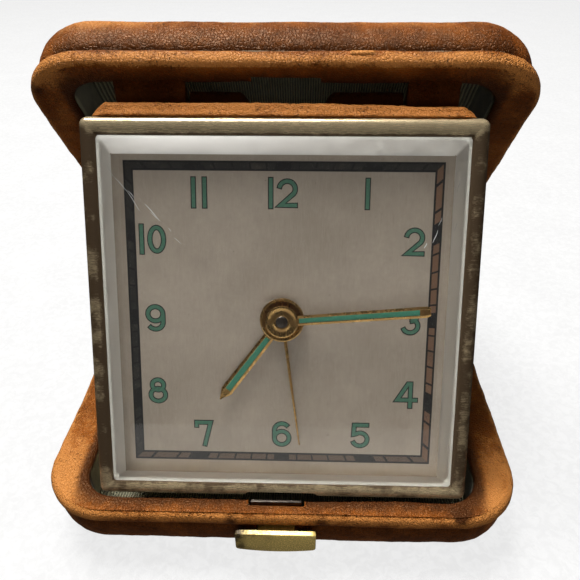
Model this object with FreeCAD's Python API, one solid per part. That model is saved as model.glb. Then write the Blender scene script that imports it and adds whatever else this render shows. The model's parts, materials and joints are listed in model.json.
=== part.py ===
import FreeCAD, Part
import math
import os
from FreeCAD import Placement, Rotation, Vector

# Folding travel alarm clock, open on its case as a tent. Millimetres, +Z up.
# Origin: centre of the case base's resting face. +X is to the right of someone facing the dial,
# and -Y is the front.

# ---- driving dimensions ---------------------------------------------------------------------------
CASE_WIDTH = 80.0
CASE_FRONT = -40.0
CASE_BACK = 38.0
CASE_DEPTH = 13.0           # resting face to mouth plane of one half
CORNER_R = 11.0             # outer corner of a half, seen from above
LEATHER_T = 0.9
LIP_SIDE = 7.0              # width of the leather lip at the sides, front and spine
LIP_FRONT = 3.4
LIP_BACK = 3.0
LINING_T = 0.5
SPINE_Y = 39.0              # hinge axis of the two halves, in the mouth plane
LID_OPENING = 51.7          # angle between the two mouth planes
CLOCK_LEAN = 66.7           # dial's up direction above the horizontal
FRAME_SIZE = 60.3           # square brass bezel
FRAME_FOOT = (0.3, -36.26, 12.89)   # middle of the bezel's lower front edge
BODY_DEPTH = 15.0           # bezel's front plane to the case back's outer face
DIAL_Z = -3.6
HANDS_DROP = 0.5            # the hands' axis lies this far below the frame's middle
RUN = 0.03                  # radial running clearance of arbors
CLOCK_HINGE = (31.6, -7.0)  # clock hinge axis, height and depth from the frame's middle
PLATE_HALF = 23.0           # movement plates are squares
PLATE_T = 0.8
FRONT_PLATE_Z = -7.2        # inner face of the plate under the dial
BACK_PLATE_Z = -11.9        # inner face of the plate at the back
CASE_BACK_Z = -BODY_DEPTH

PARTS = {}


# ---- small geometry helpers -----------------------------------------------------------------------
def box(x0, x1, y0, y1, z0, z1):
    return Part.makeBox(x1 - x0, y1 - y0, z1 - z0, Vector(x0, y0, z0))


def rod(x, y, z0, z1, r):
    """A cylinder along Z between two heights."""
    return Part.makeCylinder(r, z1 - z0, Vector(x, y, z0), Vector(0, 0, 1))


def tube(x, y, z0, z1, outer, inner):
    return rod(x, y, z0, z1, outer).cut(rod(x, y, z0 - 1, z1 + 1, inner))


def rod_x(x0, x1, y, z, r):
    return Part.makeCylinder(r, x1 - x0, Vector(x0, y, z), Vector(1, 0, 0))


def extrude_x(points, x0, x1):
    """Straight extrusion along X of a closed (y, z) polygon."""
    corners = [Vector(x0, y, z) for y, z in points]
    return Part.Face(Part.makePolygon(corners + corners[:1])).extrude(Vector(x1 - x0, 0, 0))


def prism(points, z0, z1):
    """Straight extrusion of a closed polygon between two heights."""
    corners = [Vector(x, y, z0) for x, y in points]
    return Part.Face(Part.makePolygon(corners + corners[:1])).extrude(Vector(0, 0, z1 - z0))


def fuse(*shapes):
    whole = shapes[0]
    for shape in shapes[1:]:
        whole = whole.fuse(shape)
    return whole.removeSplitter()


def polar(centre, distance, degrees):
    a = math.radians(degrees)
    return centre[0] + distance * math.cos(a), centre[1] + distance * math.sin(a)


def rounded_wire(x0, x1, y0, y1, r, z):
    """A rectangle with round corners, as a wire at height z."""
    k = r * (1 - math.sqrt(0.5))
    corners = [(x1, y1, 1, 1), (x0, y1, -1, 1), (x0, y0, -1, -1), (x1, y0, 1, -1)]
    edges = []
    ends = []
    for x, y, sx, sy in corners:
        along_x = Vector(x - sx * r, y, z)
        along_y = Vector(x, y - sy * r, z)
        middle = Vector(x - sx * k, y - sy * k, z)
        first, last = (along_y, along_x) if sx == sy else (along_x, along_y)
        ends.append((first, last))
        edges.append((first, middle, last))
    path = []
    for i, (first, middle, last) in enumerate(edges):
        path.append(Part.Arc(first, middle, last).toShape())
        path.append(Part.makeLine(last, ends[(i + 1) % 4][0]))
    return Part.Wire(path)


def slab(x0, x1, y0, y1, r, z0, z1):
    return Part.Face(rounded_wire(x0, x1, y0, y1, r, z0)).extrude(Vector(0, 0, z1 - z0))


def gear(centre, teeth, module, z0, z1, phase, pinion=False):
    """A flat-sided going gear. Wheels and pinions have their own tooth forms, with backlash."""
    if pinion:
        addendum, dedendum, at_tip, at_pitch, at_root = 0.7, 1.25, 0.08, 0.19, 0.15
    else:
        addendum, dedendum, at_tip, at_pitch, at_root = 1.0, 1.1, 0.05, 0.22, 0.23
    pitch_r = teeth * module / 2
    step = 360.0 / teeth
    outline = [
        (-at_root, pitch_r - dedendum * module),
        (-at_pitch, pitch_r),
        (-at_tip, pitch_r + addendum * module),
        (at_tip, pitch_r + addendum * module),
        (at_pitch, pitch_r),
        (at_root, pitch_r - dedendum * module),
    ]
    points = []
    for tooth in range(teeth):
        for share, radius in outline:
            points.append(polar(centre, radius, phase + (tooth + share) * step))
    return prism(points, z0, z1)


def spoked(wheel, centre, z0, z1, hub_r, rim_r, spokes):
    """Cuts round windows through a wheel between its hub and rim."""
    middle = (hub_r + rim_r) / 2
    window = (rim_r - hub_r) / 2
    for i in range(spokes):
        x, y = polar(centre, middle, 360.0 * i / spokes + 20)
        wheel = wheel.cut(rod(x, y, z0 - 1, z1 + 1, window))
    return wheel


def facing(centre, other):
    """Direction in degrees from one axis to another."""
    return math.degrees(math.atan2(other[1] - centre[1], other[0] - centre[0]))


def mesh_phase(pinion_teeth, pinion_at, wheel_at):
    """Turns a pinion so that a gap faces the wheel's tooth on the line of centres."""
    return facing(pinion_at, wheel_at) + 180.0 / pinion_teeth


def spiral(centre, z0, z1, first_r, pitch, turns, thickness):
    """A flat spring wound from half rings on two alternate centres."""
    coil = None
    for half in range(2 * turns):
        radius = first_r + pitch * half / 2
        shift = pitch / 4 if half % 2 else -pitch / 4
        x = centre[0] + shift
        ring = tube(x, centre[1], z0, z1, radius + thickness / 2, radius - thickness / 2)
        reach = radius + 1
        if half % 2:
            keep = box(x - reach, x + reach, centre[1] - reach, centre[1], z0 - 1, z1 + 1)
        else:
            keep = box(x - reach, x + reach, centre[1], centre[1] + reach, z0 - 1, z1 + 1)
        ring = ring.common(keep)
        coil = ring if coil is None else coil.fuse(ring)
    return coil.removeSplitter()


# ---- frames of the three bodies of the case -------------------------------------------------------
def lid_placement():
    """Turns a half that lies in the base's place into the open lid."""
    flat_open = Placement(Vector(0, 2 * SPINE_Y, 0), Rotation(Vector(0, 0, 1), 180))
    swing = Placement(
        Vector(0, 0, 0), Rotation(Vector(1, 0, 0), 180 - LID_OPENING), Vector(0, SPINE_Y, CASE_DEPTH)
    )
    return swing.multiply(flat_open)


def clock_placement():
    """Dial frame: X right, Y up the dial, Z out of the dial, from the middle of the bezel's front plane."""
    a = math.radians(CLOCK_LEAN)
    up = FRAME_SIZE / 2
    x, y, z = FRAME_FOOT
    origin = Vector(x, y + up * math.cos(a), z + up * math.sin(a))
    return Placement(origin, Rotation(Vector(1, 0, 0), CLOCK_LEAN))


LID = lid_placement()
CLOCK = clock_placement()


def add(name, shape, placement=None):
    shape = shape.copy()
    if placement is not None:
        shape.Placement = placement.multiply(shape.Placement)
    PARTS[name] = shape


# ---- case halves ----------------------------------------------------------------------------------
def outline(side, front, back, r, z):
    half = CASE_WIDTH / 2 - side
    return rounded_wire(-half, half, CASE_FRONT + front, CASE_BACK - back, r, z)


def ring_slab(inset, z0, z1):
    return Part.Face(outline(inset, inset, inset, CORNER_R - inset, z0)).extrude(Vector(0, 0, z1 - z0))


def step(inset_low, z_low, inset_high, z_high):
    """A slanted band between two rounded rectangles."""
    low = outline(inset_low, inset_low, inset_low, max(CORNER_R - inset_low, 4.0), z_low)
    high = outline(inset_high, inset_high, inset_high, max(CORNER_R - inset_high, 4.0), z_high)
    return Part.makeLoft([low, high], True, True)


def dome(inset, rise, top):
    """The pillow-shaped half below the groove, shrunk by an inset and raised by a rise."""
    levels = [(13.0, 0.0), (4.4, 1.8), (1.9, 3.3), (0.4, 5.8)]
    bands = []
    for (low_in, low_z), (high_in, high_z) in zip(levels, levels[1:]):
        bands.append(step(low_in + inset, low_z + rise, high_in + inset, high_z + rise))
    bands.append(ring_slab(levels[-1][0] + inset, levels[-1][1] + rise, top))
    return fuse(*bands)


GROOVE_Z = 9.8
LIP_LOW_Z = 10.3
LIP_UNDER = CASE_DEPTH - 0.8
MOUTH_R = 6.0
BOARD_T = 0.4               # thinnest part of the moulded board, at the middle of the floor
WALL_Z = 4.9                # foot of the lining's straight walls


def mouth(extra, z0, z1):
    """The opening inside the lip, grown by an extra amount."""
    wire = outline(LIP_SIDE - extra, LIP_FRONT - extra, LIP_BACK - extra, MOUTH_R + extra, z0)
    return Part.Face(wire).extrude(Vector(0, 0, z1 - z0))


def leather_cover():
    lip = ring_slab(0.0, LIP_LOW_Z, CASE_DEPTH)
    rim_edges = [
        e for e in lip.Edges
        if abs(e.BoundBox.ZMax - e.BoundBox.ZMin) < 1e-6
    ]
    lip = lip.makeFillet(1.1, rim_edges)
    skin = fuse(dome(0.0, 0.0, GROOVE_Z), ring_slab(1.0, GROOVE_Z - 0.5, LIP_LOW_Z + 0.5), lip)
    hollow = fuse(dome(LEATHER_T, LEATHER_T, GROOVE_Z), ring_slab(1.5, GROOVE_Z - 0.5, LIP_UNDER))
    return skin.cut(hollow).cut(mouth(0.0, GROOVE_Z - 1, CASE_DEPTH + 1)).removeSplitter()


def lining_outside():
    """Outer shape of the fabric tray: a dished floor, a slanted hem and straight walls up to the lip."""
    floor = LEATHER_T + BOARD_T
    middle = floor + 1.0
    plateau = outline(14.0, 14.0, 14.0, 4.0, floor)
    hem = outline(9.0, 8.6, 8.6, 4.0, middle)
    t = LINING_T
    foot = outline(LIP_SIDE - t, LIP_FRONT - t, LIP_BACK - t, MOUTH_R + t, WALL_Z)
    dish = Part.makeLoft([plateau, hem], True, True)
    slope = Part.makeLoft([hem, foot], True, True)
    return fuse(dish, slope, mouth(LINING_T, WALL_Z, LIP_UNDER))


def lining_inside():
    floor = LEATHER_T + BOARD_T + LINING_T
    middle = floor + 1.0
    plateau = outline(14.3, 14.3, 14.3, 4.0, floor)
    hem = outline(9.4, 9.0, 9.0, 4.0, middle)
    foot = outline(LIP_SIDE, LIP_FRONT, LIP_BACK, MOUTH_R, WALL_Z + 0.3)
    dish = Part.makeLoft([plateau, hem], True, True)
    slope = Part.makeLoft([hem, foot], True, True)
    return fuse(dish, slope, mouth(0.0, WALL_Z + 0.3, CASE_DEPTH + 1))


def board_tray():
    """The moulded board body that stiffens a half, between its leather and its lining."""
    gap = 0.02
    bowl = dome(LEATHER_T + gap, LEATHER_T + gap, GROOVE_Z)
    body = fuse(bowl, ring_slab(1.5 + gap, GROOVE_Z - 0.5, LIP_UNDER - gap))
    return body.cut(lining_outside())


# ---- spine hinge ----------------------------------------------------------------------------------
KNUCKLES = 5
SPINE_LEAF_LOW = 6.5
KNUCKLE_LENGTH = 12.0
KNUCKLE_R = 0.95
SPINE_PIN_R = 0.5


def spine_leaf(parity, skin=0.0):
    """One leaf of the spine hinge; the two leaves take alternate knuckles."""
    half = KNUCKLES * KNUCKLE_LENGTH / 2
    face = CASE_BACK
    low, high = SPINE_LEAF_LOW - skin, CASE_DEPTH - 0.05 + skin
    leaf = box(-half - skin, half + skin, face - 0.6 - skin, face - 0.1 + skin, low, high)
    for i in range(parity, KNUCKLES, 2):
        x0 = -half + i * KNUCKLE_LENGTH + 0.1 - skin
        x1 = x0 + KNUCKLE_LENGTH - 0.2 + 2 * skin
        arm = box(x0, x1, face - 0.6, SPINE_Y, CASE_DEPTH - KNUCKLE_R, CASE_DEPTH - 0.05)
        leaf = fuse(leaf, arm, rod_x(x0, x1, SPINE_Y, CASE_DEPTH, KNUCKLE_R + skin))
    if not skin:
        bore = SPINE_PIN_R + (RUN if parity else 0)
        leaf = leaf.cut(rod_x(-half - 1, half + 1, SPINE_Y, CASE_DEPTH, bore))
    return leaf


# ---- latch ----------------------------------------------------------------------------------------
LATCH_X = -0.4
LATCH_HALF = 6.5
LATCH_LOW = 5.8
LATCH_HIGH = 10.5
LATCH_TRAVEL = 0.8
LATCH_STANDS = 1.5          # the push piece's front stands this far out of the case
LATCH_T = 0.9
SPRING_Y = CASE_FRONT - LATCH_STANDS + LATCH_T + LATCH_TRAVEL
HOOK_HALF = 4.1
STEM = (3.0, 7.6, 9.4)      # half width, low and high
NOTCH_HALF = 4.6
LID_NOTCH = (-0.6, 5.2)      # middle and half width in the lid's own frame


def latch_button():
    """A brass push piece with a bowed, stepped lower edge, its stem and the hook behind the lip."""
    front = CASE_FRONT - LATCH_STANDS
    left, right = LATCH_X - LATCH_HALF, LATCH_X + LATCH_HALF

    def plate(low, bow, y0, y1):
        points = [Vector(left, y0, LATCH_HIGH), Vector(left, y0, low), Vector(right, y0, low),
                  Vector(right, y0, LATCH_HIGH)]
        edges = [
            Part.makeLine(points[0], points[1]),
            Part.Arc(points[1], Vector(LATCH_X, y0, low - bow), points[2]).toShape(),
            Part.makeLine(points[2], points[3]),
            Part.makeLine(points[3], points[0]),
        ]
        return Part.Face(Part.Wire(edges)).extrude(Vector(0, y1 - y0, 0))

    face = plate(LATCH_LOW + 0.7, 0.6, front, front + 0.6)
    step_plate = plate(LATCH_LOW, 0.7, front + 0.6, front + LATCH_T)
    half, low, high = STEM
    stem = box(LATCH_X - half, LATCH_X + half, CASE_FRONT - 0.9, -37.6, low, high)
    hook = box(LATCH_X - HOOK_HALF, LATCH_X + HOOK_HALF, -37.65, -37.15, low, CASE_DEPTH + 0.6)
    return fuse(face, step_plate, stem, hook)


def latch_window():
    """Space for the stem and hook through the front wall, and for the button's press."""
    half, low, high = STEM
    stem = box(LATCH_X - half - 0.1, LATCH_X + half + 0.1, -42, -36, low - 0.1, high + 0.1)
    rise = box(LATCH_X - NOTCH_HALF, LATCH_X + NOTCH_HALF, -37.9, -35.6, low - 0.1, CASE_DEPTH + 1)
    half = LATCH_HALF + 0.15
    seat = box(LATCH_X - half, LATCH_X + half, -42, CASE_FRONT + 0.45, 4.4, LATCH_HIGH + 0.15)
    return fuse(stem, rise, seat)


def latch_spring():
    """A bowed leaf spring under the button, either side of the stem."""
    half = STEM[0] + 0.3
    arms = []
    for sign in (-1, 1):
        near, far = LATCH_X + sign * half, LATCH_X + sign * (LATCH_HALF - 0.4)
        x0, x1 = min(near, far), max(near, far)
        arms.append(box(x0, x1, SPRING_Y, SPRING_Y + 0.22, 7.9, 9.1))
    reach = LATCH_HALF - 0.4
    bridge = box(LATCH_X - reach, LATCH_X + reach, SPRING_Y, SPRING_Y + 0.22, 6.9, 7.4)
    joints = [box(x0, x0 + 0.8, SPRING_Y, SPRING_Y + 0.22, 7.3, 8.0)
              for x0 in (LATCH_X - reach, LATCH_X + reach - 0.8)]
    return fuse(bridge, *arms, *joints)


def make_case():
    leather = leather_cover()
    frame = board_tray()
    lining = lining_outside().cut(lining_inside())
    window = latch_window()
    spine_room = {0: spine_leaf(0, 0.06), 1: spine_leaf(1, 0.06)}
    middle, half = LID_NOTCH
    low, high = middle - half, middle + half
    lid_notch = box(low, high, -37.95, -35.6, 9.0, CASE_DEPTH + 1)
    wall_room = box(-31, 31, CASE_BACK - 0.66, CASE_BACK + 3, 6.4, CASE_DEPTH + 1)

    add("base_leather", leather.cut(window).cut(wall_room))
    add("base_board", frame.cut(window).cut(spine_room[0]))
    add("base_lining", lining.cut(window))
    add("base_spine_leaf", spine_leaf(0))
    reach = KNUCKLES * KNUCKLE_LENGTH / 2
    add("spine_pin", rod_x(-reach, reach, SPINE_Y, CASE_DEPTH, SPINE_PIN_R))
    add("latch_button", latch_button())
    add("latch_spring", latch_spring())

    add("lid_leather", leather.cut(lid_notch).cut(wall_room), LID)
    add("lid_board", frame.cut(lid_notch).cut(spine_room[1]), LID)
    add("lid_lining", lining.cut(lid_notch), LID)
    add("lid_spine_leaf", spine_leaf(1), LID)
    strike = box(low + 0.05, high - 0.05, -37.9, -37.4, 9.05, 12.2)
    shelf = box(low + 0.05, high - 0.05, -37.5, -36.65, 9.05, 9.5)
    add("lid_strike", fuse(strike, shelf), LID)


# ---- clock hinge ----------------------------------------------------------------------------------
EAR_SPANS = ((-25.5, -14.8), (18.4, 26.2))
FLAP_SPAN = (-14.6, 18.2)
FLAP_CUT = (-5.2, 7.0)
HINGE_R = 1.2
CREST_RISE = 2.8            # the flap's leather fold above the hinge axis
STRIP_RISE = 2.0
HINGE_PIN_R = 0.6


def make_clock_hinge():
    """Ears on the lid's front wall and a flap on the clock's top share one pin."""
    y, z = CLOCK_HINGE
    pin = rod_x(EAR_SPANS[0][0] + 0.1, EAR_SPANS[1][1] - 0.1, y, z, HINGE_PIN_R)
    add("clock_hinge_pin", pin, CLOCK)

    # the ears are drawn in the lid's own frame, where the axis stands just above the mouth plane
    axis = LID.inverse().multVec(CLOCK.multVec(Vector(0, y, z)))
    offset = FRAME_FOOT[0]
    wall = CASE_FRONT + LIP_FRONT
    plate = box(-26.5 - offset, 25.8 - offset, wall + 0.02, wall + 0.5, 6.0, 12.6)
    plate = plate.cut(box(-9.0, 7.0, wall - 1, wall + 1, 8.5, 14))
    bracket = plate
    for x0, x1 in EAR_SPANS:
        low, high = -x1 - offset, -x0 - offset
        arm = box(low, high, wall + 0.02, axis.y, axis.z - HINGE_R, axis.z + HINGE_R)
        web = box(low, high, wall + 0.02, wall + 0.5, 12.0, axis.z)
        bracket = fuse(bracket, web, arm, rod_x(low, high, axis.y, axis.z, HINGE_R))
    bracket = bracket.cut(rod_x(-40, 40, axis.y, axis.z, HINGE_PIN_R))
    add("clock_hinge_bracket", bracket, LID)

    top = FRAME_SIZE / 2 - 0.65
    x0, x1 = FLAP_SPAN
    leaf = box(x0, x1, top, top + 0.5, -12.5, -5.6)
    web = box(x0, x1, top, y, z - HINGE_R, z - HINGE_R + 0.9)
    crest = box(x0, x1, y, y + CREST_RISE, z - 0.6, z + 0.6)
    flap = fuse(leaf, web, rod_x(x0, x1, y, z, HINGE_R), crest)
    flap = flap.cut(rod_x(x0 - 1, x1 + 1, y, z, HINGE_PIN_R + RUN))
    cut_x0, cut_x1 = FLAP_CUT
    flap = flap.cut(box(cut_x0, cut_x1, top + 0.5, y + 3, z - 3, z + 3))
    add("clock_hinge_flap", flap, CLOCK)

    # the strip's crown stands in front of the hinge, and its back slopes down under the ears
    foot = FRAME_SIZE / 2
    half = foot - 2.2
    profile = [(foot, -0.9), (foot + 1.5, -0.9), (foot + STRIP_RISE, -1.4), (foot + STRIP_RISE, -2.6),
               (foot + 0.8, -5.3), (foot, -5.3)]
    add("top_leather_strip", extrude_x(profile, -half, half), CLOCK)


# ---- clock body -----------------------------------------------------------------------------------
GLASS_SIDE = 54.7
GLASS_FRONT = 2.13
BEZEL_DEPTH = 5.0
CASE_WALL = 0.6
HANDS_AT = (0.0, -HANDS_DROP)


def square(side, z0, z1, r):
    h = side / 2
    return slab(-h, h, -h, h, r, z0, z1)


def make_clock_body():
    outer = square(FRAME_SIZE, -BEZEL_DEPTH, 0.0, 1.2)
    top_edges = [e for e in outer.Edges if e.BoundBox.ZMin > -0.01]
    outer = outer.makeFillet(0.5, top_edges)
    opening = square(GLASS_SIDE + 0.1, -BEZEL_DEPTH - 1, 1, 0.6)
    behind = square(FRAME_SIZE - 1.2, -BEZEL_DEPTH - 1, -0.6, 0.7)
    bezel = outer.cut(behind).cut(opening)
    foot = -FRAME_SIZE / 2
    notch = box(-6.2, 6.2, foot - 1, foot + 0.9, -3.4, 1)
    add("bezel", bezel.cut(notch), CLOCK)

    seat = square(FRAME_SIZE - 1.3, -1.5, -0.65, 0.6).cut(square(GLASS_SIDE - 3.0, -3, 1, 0.4))
    add("crystal_retainer", seat.cut(box(-6.3, 6.3, foot - 1, foot + 1.0, -4, 1)), CLOCK)

    h = GLASS_SIDE / 2
    body = slab(-h, h, -h, h, 0.5, -0.6, 0.5)
    bevel = Part.makeLoft(
        [rounded_wire(-h, h, -h, h, 0.5, 0.5),
         rounded_wire(-h + 2.6, h - 2.6, -h + 2.6, h - 2.6, 0.5, GLASS_FRONT)],
        True, True,
    )
    add("crystal", body.fuse(bevel).removeSplitter(), CLOCK)

    hx, hy = HANDS_AT
    dial = square(57.2, DIAL_Z - 0.4, DIAL_Z, 1.0).cut(rod(hx, hy, -6, 0, 1.6))
    add("dial", dial, CLOCK)

    shell = square(FRAME_SIZE - 1.3, CASE_BACK_Z + 0.6, -1.55, 0.8)
    shell = shell.cut(square(FRAME_SIZE - 1.3 - 2 * CASE_WALL, CASE_BACK_Z + 0.5, -1.0, 0.5))
    ledge = square(FRAME_SIZE - 2.3, -4.8, -4.05, 0.4).cut(square(52.0, -6, -3, 0.4))
    shell = shell.fuse(ledge).cut(box(-6.3, 6.3, foot - 1, foot + 0.95, -3.5, 1))
    add("clock_case", shell.removeSplitter(), CLOCK)

    back = square(FRAME_SIZE - 1.3, CASE_BACK_Z, CASE_BACK_Z + 0.6, 0.8)
    holes = [(TIME_BARREL_AT, 2.0), (ALARM_BARREL_AT, 2.0), (HANDS_AT, 1.0), (ALARM_SET_AT, 1.0),
             (STOP_AT, 1.1)]
    for (x, y), r in holes:
        back = back.cut(rod(x, y, CASE_BACK_Z - 1, CASE_BACK_Z + 2, r))
    slot = tube(BALANCE_AT[0], BALANCE_AT[1], CASE_BACK_Z - 1, CASE_BACK_Z + 2, 6.0, 5.0)
    start = REGULATOR_DIRECTION
    wedge = prism([BALANCE_AT] + [polar(BALANCE_AT, 9, start + a) for a in (-26, -13, 0, 13, 26)],
                  CASE_BACK_Z - 1, CASE_BACK_Z + 2)
    add("case_back", back.cut(slot.common(wedge)), CLOCK)

    corner = PLATE_HALF - 2.2
    screws = []
    for sx in (-1, 1):
        for sy in (-1, 1):
            x, y = sx * corner, sy * corner - HANDS_DROP
            head = rod(x, y, CASE_BACK_Z - 0.5, CASE_BACK_Z, 1.3)
            head = head.cut(box(x - 2, x + 2, y - 0.15, y + 0.15, CASE_BACK_Z - 0.6, CASE_BACK_Z - 0.3))
            screws.append(head)
    add("case_back_screws", Part.makeCompound(screws), CLOCK)


# ---- movement layout: axes in the dial frame ------------------------------------------------------
BARREL_TEETH, CENTRE_LEAVES, BARREL_MODULE = 64, 8, 0.25
CENTRE_TEETH, THIRD_LEAVES, CENTRE_MODULE = 60, 8, 0.22
THIRD_TEETH, FOURTH_LEAVES, THIRD_MODULE = 64, 8, 0.17
FOURTH_TEETH, ESCAPE_LEAVES, FOURTH_MODULE = 60, 6, 0.17
CANNON_LEAVES, MINUTE_TEETH, CANNON_MODULE = 12, 36, 0.24
MINUTE_LEAVES, HOUR_TEETH = 10, 40
ALARM_TEETH, SETTING_LEAVES, ALARM_MODULE = 50, 20, 0.22
STRIKE_TEETH, STAR_LEAVES, STRIKE_MODULE = 56, 8, 0.25


def centre_distance(a, b, module):
    return (a + b) * module / 2


MOTION_DISTANCE = centre_distance(CANNON_LEAVES, MINUTE_TEETH, CANNON_MODULE)
HOUR_MODULE = 2 * MOTION_DISTANCE / (MINUTE_LEAVES + HOUR_TEETH)
MINUTE_AT = polar(HANDS_AT, MOTION_DISTANCE, -10)
TIME_BARREL_AT = polar(HANDS_AT, centre_distance(BARREL_TEETH, CENTRE_LEAVES, BARREL_MODULE), 215)
THIRD_AT = polar(HANDS_AT, centre_distance(CENTRE_TEETH, THIRD_LEAVES, CENTRE_MODULE), 60)
FOURTH_AT = polar(THIRD_AT, centre_distance(THIRD_TEETH, FOURTH_LEAVES, THIRD_MODULE), 350)
ESCAPE_AT = polar(FOURTH_AT, centre_distance(FOURTH_TEETH, ESCAPE_LEAVES, FOURTH_MODULE), 285)
PALLET_AT = polar(ESCAPE_AT, 4.9, 285)
BALANCE_AT = polar(PALLET_AT, 6.6, 235)
ALARM_SET_AT = polar(HANDS_AT, centre_distance(ALARM_TEETH, SETTING_LEAVES, ALARM_MODULE), 120)
ALARM_BARREL_AT = (-11.5, 10.5)
STAR_AT = polar(ALARM_BARREL_AT, centre_distance(STRIKE_TEETH, STAR_LEAVES, STRIKE_MODULE), 20)
HAMMER_AT = (2.8, 15.6)
STOP_AT = (16.5, 12.5)
REGULATOR_DIRECTION = 320.0
PILLARS = [(sx * 20.8, sy * 20.8 - HANDS_DROP) for sx in (-1, 1) for sy in (-1, 1)]
PIVOT_R = 0.3
ARBOR_R = 0.5
THROUGH_R = 0.5
KEY_ARBOR_R = 1.0


def make_plates():
    hx, hy = HANDS_AT
    h = PLATE_HALF

    def plate(z0, z1):
        return slab(hx - h, hx + h, hy - h, hy + h, 1.0, z0, z1)

    front = plate(FRONT_PLATE_Z, FRONT_PLATE_Z + PLATE_T)
    back = plate(BACK_PLATE_Z - PLATE_T, BACK_PLATE_Z)
    pivots = [THIRD_AT, FOURTH_AT, ESCAPE_AT, PALLET_AT, BALANCE_AT, STAR_AT, HAMMER_AT]
    for at in pivots:
        front = front.cut(rod(at[0], at[1], -9, -5, PIVOT_R + RUN))
        back = back.cut(rod(at[0], at[1], -14, -11, PIVOT_R + RUN))
    for at in (HANDS_AT, ALARM_SET_AT, MINUTE_AT):
        front = front.cut(rod(at[0], at[1], -9, -5, THROUGH_R + RUN))
    for at in (HANDS_AT, ALARM_SET_AT):
        back = back.cut(rod(at[0], at[1], -14, -11, THROUGH_R + RUN))
    for at in (TIME_BARREL_AT, ALARM_BARREL_AT):
        front = front.cut(rod(at[0], at[1], -9, -5, ARBOR_R + RUN))
        back = back.cut(rod(at[0], at[1], -14, -11, KEY_ARBOR_R + RUN))
    back = back.cut(rod(STOP_AT[0], STOP_AT[1], -14, -11, 0.8 + RUN))
    add("front_plate", front, CLOCK)
    add("back_plate", back, CLOCK)

    pillars = [rod(x, y, BACK_PLATE_Z, FRONT_PLATE_Z, 1.5) for x, y in PILLARS]
    add("plate_pillars", Part.makeCompound(pillars), CLOCK)


def arbor(at, z0, z1, r=ARBOR_R, pivots=True):
    """An arbor between the plates with a thinner pivot at each end."""
    body = rod(at[0], at[1], z0, z1, r)
    if pivots:
        low = rod(at[0], at[1], BACK_PLATE_Z - 0.7, z0, PIVOT_R)
        high = rod(at[0], at[1], z1, FRONT_PLATE_Z + 0.7, PIVOT_R)
        body = fuse(body, low, high)
    return body


def train_wheel(name, at, teeth, module, wheel_z, wheel_partner,
                leaves, pinion_module, pinion_z, pinion_partner):
    """A wheel and pinion on one arbor, each turned to mesh with its own partner."""
    wheel = gear(at, teeth, module, *wheel_z, facing(at, wheel_partner))
    wheel = spoked(wheel, at, *wheel_z, 1.3, teeth * module / 2 - 0.8, 4)
    pinion = gear(at, leaves, pinion_module, *pinion_z, mesh_phase(leaves, at, pinion_partner), True)
    shaft_r = min(ARBOR_R, leaves * pinion_module / 2 - 0.25)
    shaft = arbor(at, BACK_PLATE_Z + 0.1, FRONT_PLATE_Z - 0.1, shaft_r)
    add(name, fuse(shaft, wheel, pinion), CLOCK)


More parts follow.
